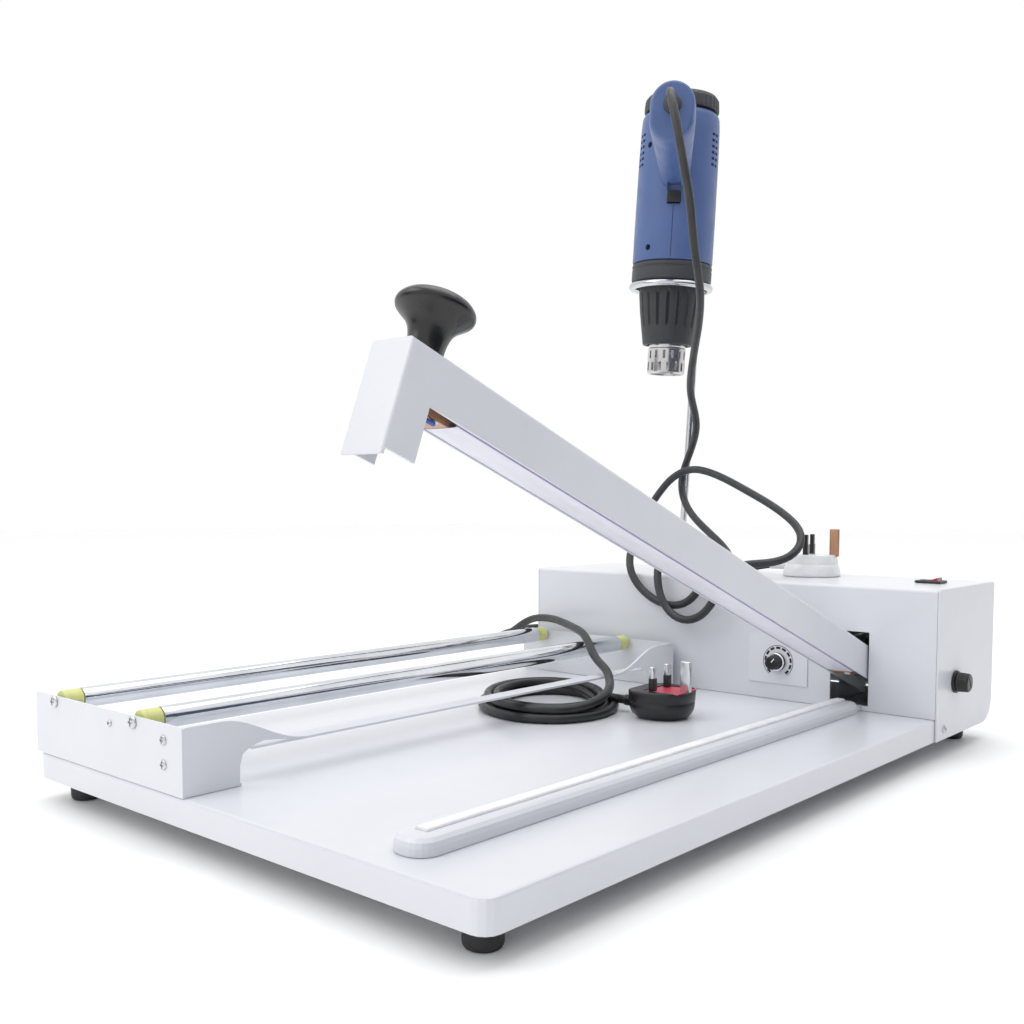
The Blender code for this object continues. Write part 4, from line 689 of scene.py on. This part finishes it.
# ------------------------------------------------------------------ plugs
def plug(node, name, place, turn, lift, tall, reach, look, slot_name, sleeve, tip_look, lug):
    plan = [(-22, -15), (-20, -18), (-12, -24.5), (2, -25.2), (14, -21), (22, -12), (24.5, 0), (22, 12), (14, 21), (2, 25.2), (-12, 24.5), (-20, 18), (-22, 15), (-22.0, 0)]
    closed = plan + plan[:3]
    outline = []
    for a, b, c, d in zip(closed, closed[1:], closed[2:], closed[3:]):
        for i in range(8):
            s = i / 8
            outline.append(tuple(0.5 * (2 * q + (r - p) * s + (2 * p - 5 * q + 4 * r - t) * s * s + (3 * q - p - 3 * r + t) * s ** 3) for p, q, r, t in zip(a, b, c, d)))
    bm = bmesh.new()
    rings = []
    down = node == "plug_white"
    for height, scale in ((0, 0.97), (0.4, 0.99), (1.4, 1.0), (3.0, 0.985), (5.4, 0.97), (8.0, 0.945), (tall * 0.55, 0.905), (tall * 0.57, 0.895), (tall * 0.60, 0.89), (tall * 0.62, 0.90), (tall - 3.0, 0.87), (tall - 1.2, 0.855), (tall - 0.5, 0.845), (tall, 0.82)) if down else ((0, 0.70), (0.4, 0.73), (1.4, 0.785), (3.0, 0.85), (5.4, 0.905), (8.0, 0.94), (tall * 0.55, 0.955), (tall * 0.57, 0.945), (tall * 0.60, 0.945), (tall * 0.62, 0.96), (tall - 3.0, 0.975), (tall - 1.2, 0.978), (tall - 0.5, 0.968), (tall, 0.945)):
        rings.append([bm.verts.new((x * scale, y * scale, height)) for x, y in outline])
    n = len(outline)
    for a, b in zip(rings, rings[1:]):
        for i in range(n):
            bm.faces.new((a[i], a[(i + 1) % n], b[(i + 1) % n], b[i]))
    bm.faces.new(rings[0][::-1])
    bm.faces.new(rings[-1])
    prof = [(0, -reach), (3.9, -reach), (4.2, -reach + 0.5)]
    k = 0
    z = -reach + 1.4
    while z < -20:
        prof += [(3.9, z), (4.3, z + 0.4), (4.3, z + 1.3), (3.9, z + 1.7)]
        z += 2.2
    prof += [(4.6, -18.5), (5.6, -15), (5.6, -10), (0, -10)]
    boot = lathe_bm(prof, 48, at(0, 0, 9.0) @ RY90)
    body = cut(solid("plug", bm), boot, "UNION")
    if not down:
        body = cut(solid("plug", body), box_bm(-8.5, 27, -16.5, 16.5, tall - 0.9, tall + 3, 0.6, 2))
    move = at(*place, lift) @ Matrix.Rotation(math.radians(turn), 4, "Z")
    bmesh.ops.transform(body, matrix=move, verts=body.verts)
    main = dressed(name, body, TO_LAYOUT, look, "frame", slot_name, replaces=(node,), smooth=38)
    extra = [main]
    face = box_bm(-8.0, 20.5, -15.6, 15.6, tall - 1.1, tall - 0.55, 0.15, 1, None, move)
    if down:
        face.free()
    else:
        extra.append(to_piece(name + "_face", face, TO_LAYOUT, "pink" if look == "black" else look, "frame", "red_plastic" if look == "black" else slot_name))
    sl = None
    for y0, y1 in ((-14.2, -8.0), (8.0, 14.2)):
        sl = box_bm(-5.0, -1.0, y0, y1, tall - 1.6, tall + 9.0, 0.35, 2, sl, move)
    extra.append(to_piece(name + "_pin_sleeves", sl, TO_LAYOUT, sleeve, "frame", "black_plastic"))
    tips = None
    for y0, y1 in ((-13.9, -8.3), (8.3, 13.9)):
        tips = box_bm(-4.7, -1.3, y0, y1, tall + 7.0, tall + 17.7, 0.8, 3, tips, move)
    extra.append(to_piece(name + "_pin_tips", tips, TO_LAYOUT, tip_look, "frame", "zinc_steel" if tip_look == "pin" else "black_plastic"))
    earth = box_bm(15.2, 23.2, -2.0, 2.0, tall - 1.6, tall + 22.7, 0.8, 3, None, move)
    extra.append(to_piece(name + "_earth_pin", earth, TO_LAYOUT, lug, "frame", "zinc_steel"))
    return extra


white_plug = plug("plug_white", "gun_plug", (-143.5, 584.0), 11.7, 99.1, 19.0, 37.7, "white_plastic", "white_plastic", "black", "black", "brass")
black_plug = plug("plug_black", "mains_plug", (-161.5, 374.0), 3.7, 0.3, 21.5, 34.0, "black", "black_plastic", "black", "pin", "pin")

# ------------------------------------------------------------------ fixing screws on the frame
fs = None
for x, z in ((-247.5, 30.3), (-247.5, 16.2), (-306.6, 31.7)):
    fs = screw_bm(3.0 if x > -300 else 2.0, 1.5, at(x, 0.0, z) @ RX90, fs)
for y in (12.0, 31.0):
    fs = screw_bm(3.0, 1.6, at(-236.4, y, 1.8), fs)
for y in (462.0, 479.0):
    fs = screw_bm(3.0, 1.6, at(-236.4, y, 1.8), fs)
for x in (-384, -306, -247.5):
    fs = screw_bm(2.4, 1.4, at(x, 491.5, 16.0) @ RX270, fs)
to_piece("bracket_screws", fs, TO_LAYOUT, "zinc", "frame", "zinc_steel")
ps = None
for y, z in ((515.7, -8.5),):
    ps = screw_bm(3.2, 1.5, at(-0.0, y, z) @ RY90, ps)
for y, z in ((515.7, 88.0), (608.0, 88.0), (515.7, 12.0), (608.0, 12.0)):
    ps = screw_bm(3.2, 1.5, at(-392.0, y, z) @ Matrix.Rotation(math.radians(-90), 4, "Y"), ps)
for x in (-380, -14):
    for z in (12.0, 86.0):
        ps = screw_bm(3.2, 1.5, at(x, 624.0, z) @ RX270, ps)
to_piece("panel_screws", ps, TO_LAYOUT, "zinc", "frame", "zinc_steel")
# ------------------------------------------------------------------ finishes and rounded edges on the CAD nodes that show as they are
LOOK = {
    "base_plate": ("white", 0.5), "base_closing_plate": ("zinc", 0.3), "housing_cover": ("white", 0.35), "back_plate": ("white", 0.3), "side_panel_right": ("white", 0.45), "side_panel_left": ("white", 0.45),
    "transformer_core": ("lamination", 0.3), "transformer_coil": ("winding", 0.5), "timer_board": ("board", 0.2), "timer_potentiometer": ("zinc", 0.2), "terminal_block": ("white_plastic", 0.4),
    "dial_plate": ("dial", 0.15), "switch_bezel": ("black", 0.3), "power_rocker": ("red", 0.5), "fuse_holder": ("black", 0.2), "hinge_bracket": ("zinc", 0.3), "pivot_shaft": ("zinc", 0.3), "return_spring": ("zinc", 0.0),
    "microswitch": ("black", 0.3), "microswitch_plunger": ("red", 0.2), "arm_channel": ("white", 0.5), "seal_bar": ("aluminium", 0.3), "heating_ribbon": ("ribbon", 0.0), "ribbon_clamp_front": ("copper", 0.4),
    "ribbon_clamp_rear": ("copper", 0.4), "seal_rail": ("white", 0.35), "silicone_strip": ("silicone", 0.2), "roller_bracket_front": ("white", 0.3), "roller_bracket_rear": ("white", 0.3),
    "stand_clamp_upper": ("zinc", 0.4), "stand_clamp_lower": ("zinc", 0.4),
}
for name, (look, width) in LOOK.items():
    obj = bpy.data.objects[name]
    if not obj.data.materials:
        obj.data.materials.append(M[look])
    for s in obj.material_slots:
        s.material = M[look]
    if width:
        mod = obj.modifiers.new("edge_round", "BEVEL")
        mod.width, mod.segments, mod.limit_method, mod.angle_limit = width * mm, 3, "ANGLE", math.radians(32)
        mod.harden_normals = False

# ------------------------------------------------------------------ floor and light
floor_mesh = bpy.data.meshes.new("floor")
floor_mesh.from_pydata([(-6, -5, -0.0002), (6, -5, -0.0002), (6, 7, -0.0002), (-6, 7, -0.0002)], [], [(0, 1, 2, 3)])
floor = link(bpy.data.objects.new("floor", floor_mesh))
fl = Nodes("studio_floor")
fl.link(fl.colours(fl.noise(3.0, 4.0), (0.3, (0.982, 0.983, 0.985)), (0.7, (0.99, 0.99, 0.99))), fl.shader.inputs["Base Color"])
fl.link(fl.ramp(fl.noise(30.0), 0.55, 0.7, 0.3, 0.7), fl.shader.inputs["Roughness"])
floor.data.materials.append(fl.mat)

world = bpy.data.worlds.new("studio")
world.use_nodes = True
world.node_tree.nodes["Background"].inputs["Color"].default_value = (1.0, 1.0, 1.0, 1.0)
world.node_tree.nodes["Background"].inputs["Strength"].default_value = 1.0
bpy.context.scene.world = world
bpy.context.scene.view_settings.view_transform = "Standard"


def flag(name, corners, grey):
    """A dark card out of view: it shades the side that faces it and gives the chrome something to reflect."""
    mesh = bpy.data.meshes.new(name)
    mesh.from_pydata(corners, [], [(0, 1, 2, 3)])
    obj = link(bpy.data.objects.new(name, mesh))
    card = Nodes(name)
    card.link(card.colours(card.noise(4.0), (0.3, shade(grey, 0.9)), (0.7, shade(grey, 1.1))), card.shader.inputs["Base Color"])
    card.link(card.ramp(card.noise(9.0), 0.8, 0.9), card.shader.inputs["Roughness"])
    obj.data.materials.append(card.mat)
    obj.visible_camera = False


flag("flag_right", [(1.25, -1.1, 0.0), (1.25, 1.2, 0.0), (1.25, 1.2, 0.85), (1.25, -1.1, 0.85)], (0.06, 0.07, 0.11))
flag("flag_left", [(-1.9, -1.5, 0.15), (-1.0, -2.2, 0.15), (-1.0, -2.2, 0.7), (-1.9, -1.5, 0.7)], (0.10, 0.10, 0.11))


def softbox(name, where, aim, size, power, colour=(1, 1, 1)):
    lamp = bpy.data.lights.new(name, "AREA")
    lamp.shape, lamp.size, lamp.energy, lamp.color = "SQUARE", size, power, colour
    obj = link(bpy.data.objects.new(name, lamp))
    obj.location = where
    obj.rotation_euler = (Vector(aim) - Vector(where)).to_track_quat("-Z", "Y").to_euler()


softbox("key", (-0.9, -1.5, 1.9), (0, 0, 0.15), 1.4, 12.0)
softbox("fill", (1.8, -0.6, 1.0), (0, 0, 0.15), 1.6, 1.5, (0.95, 0.97, 1.0))
softbox("top", (0.1, 0.3, 2.2), (0, 0, 0.1), 1.8, 16.0)
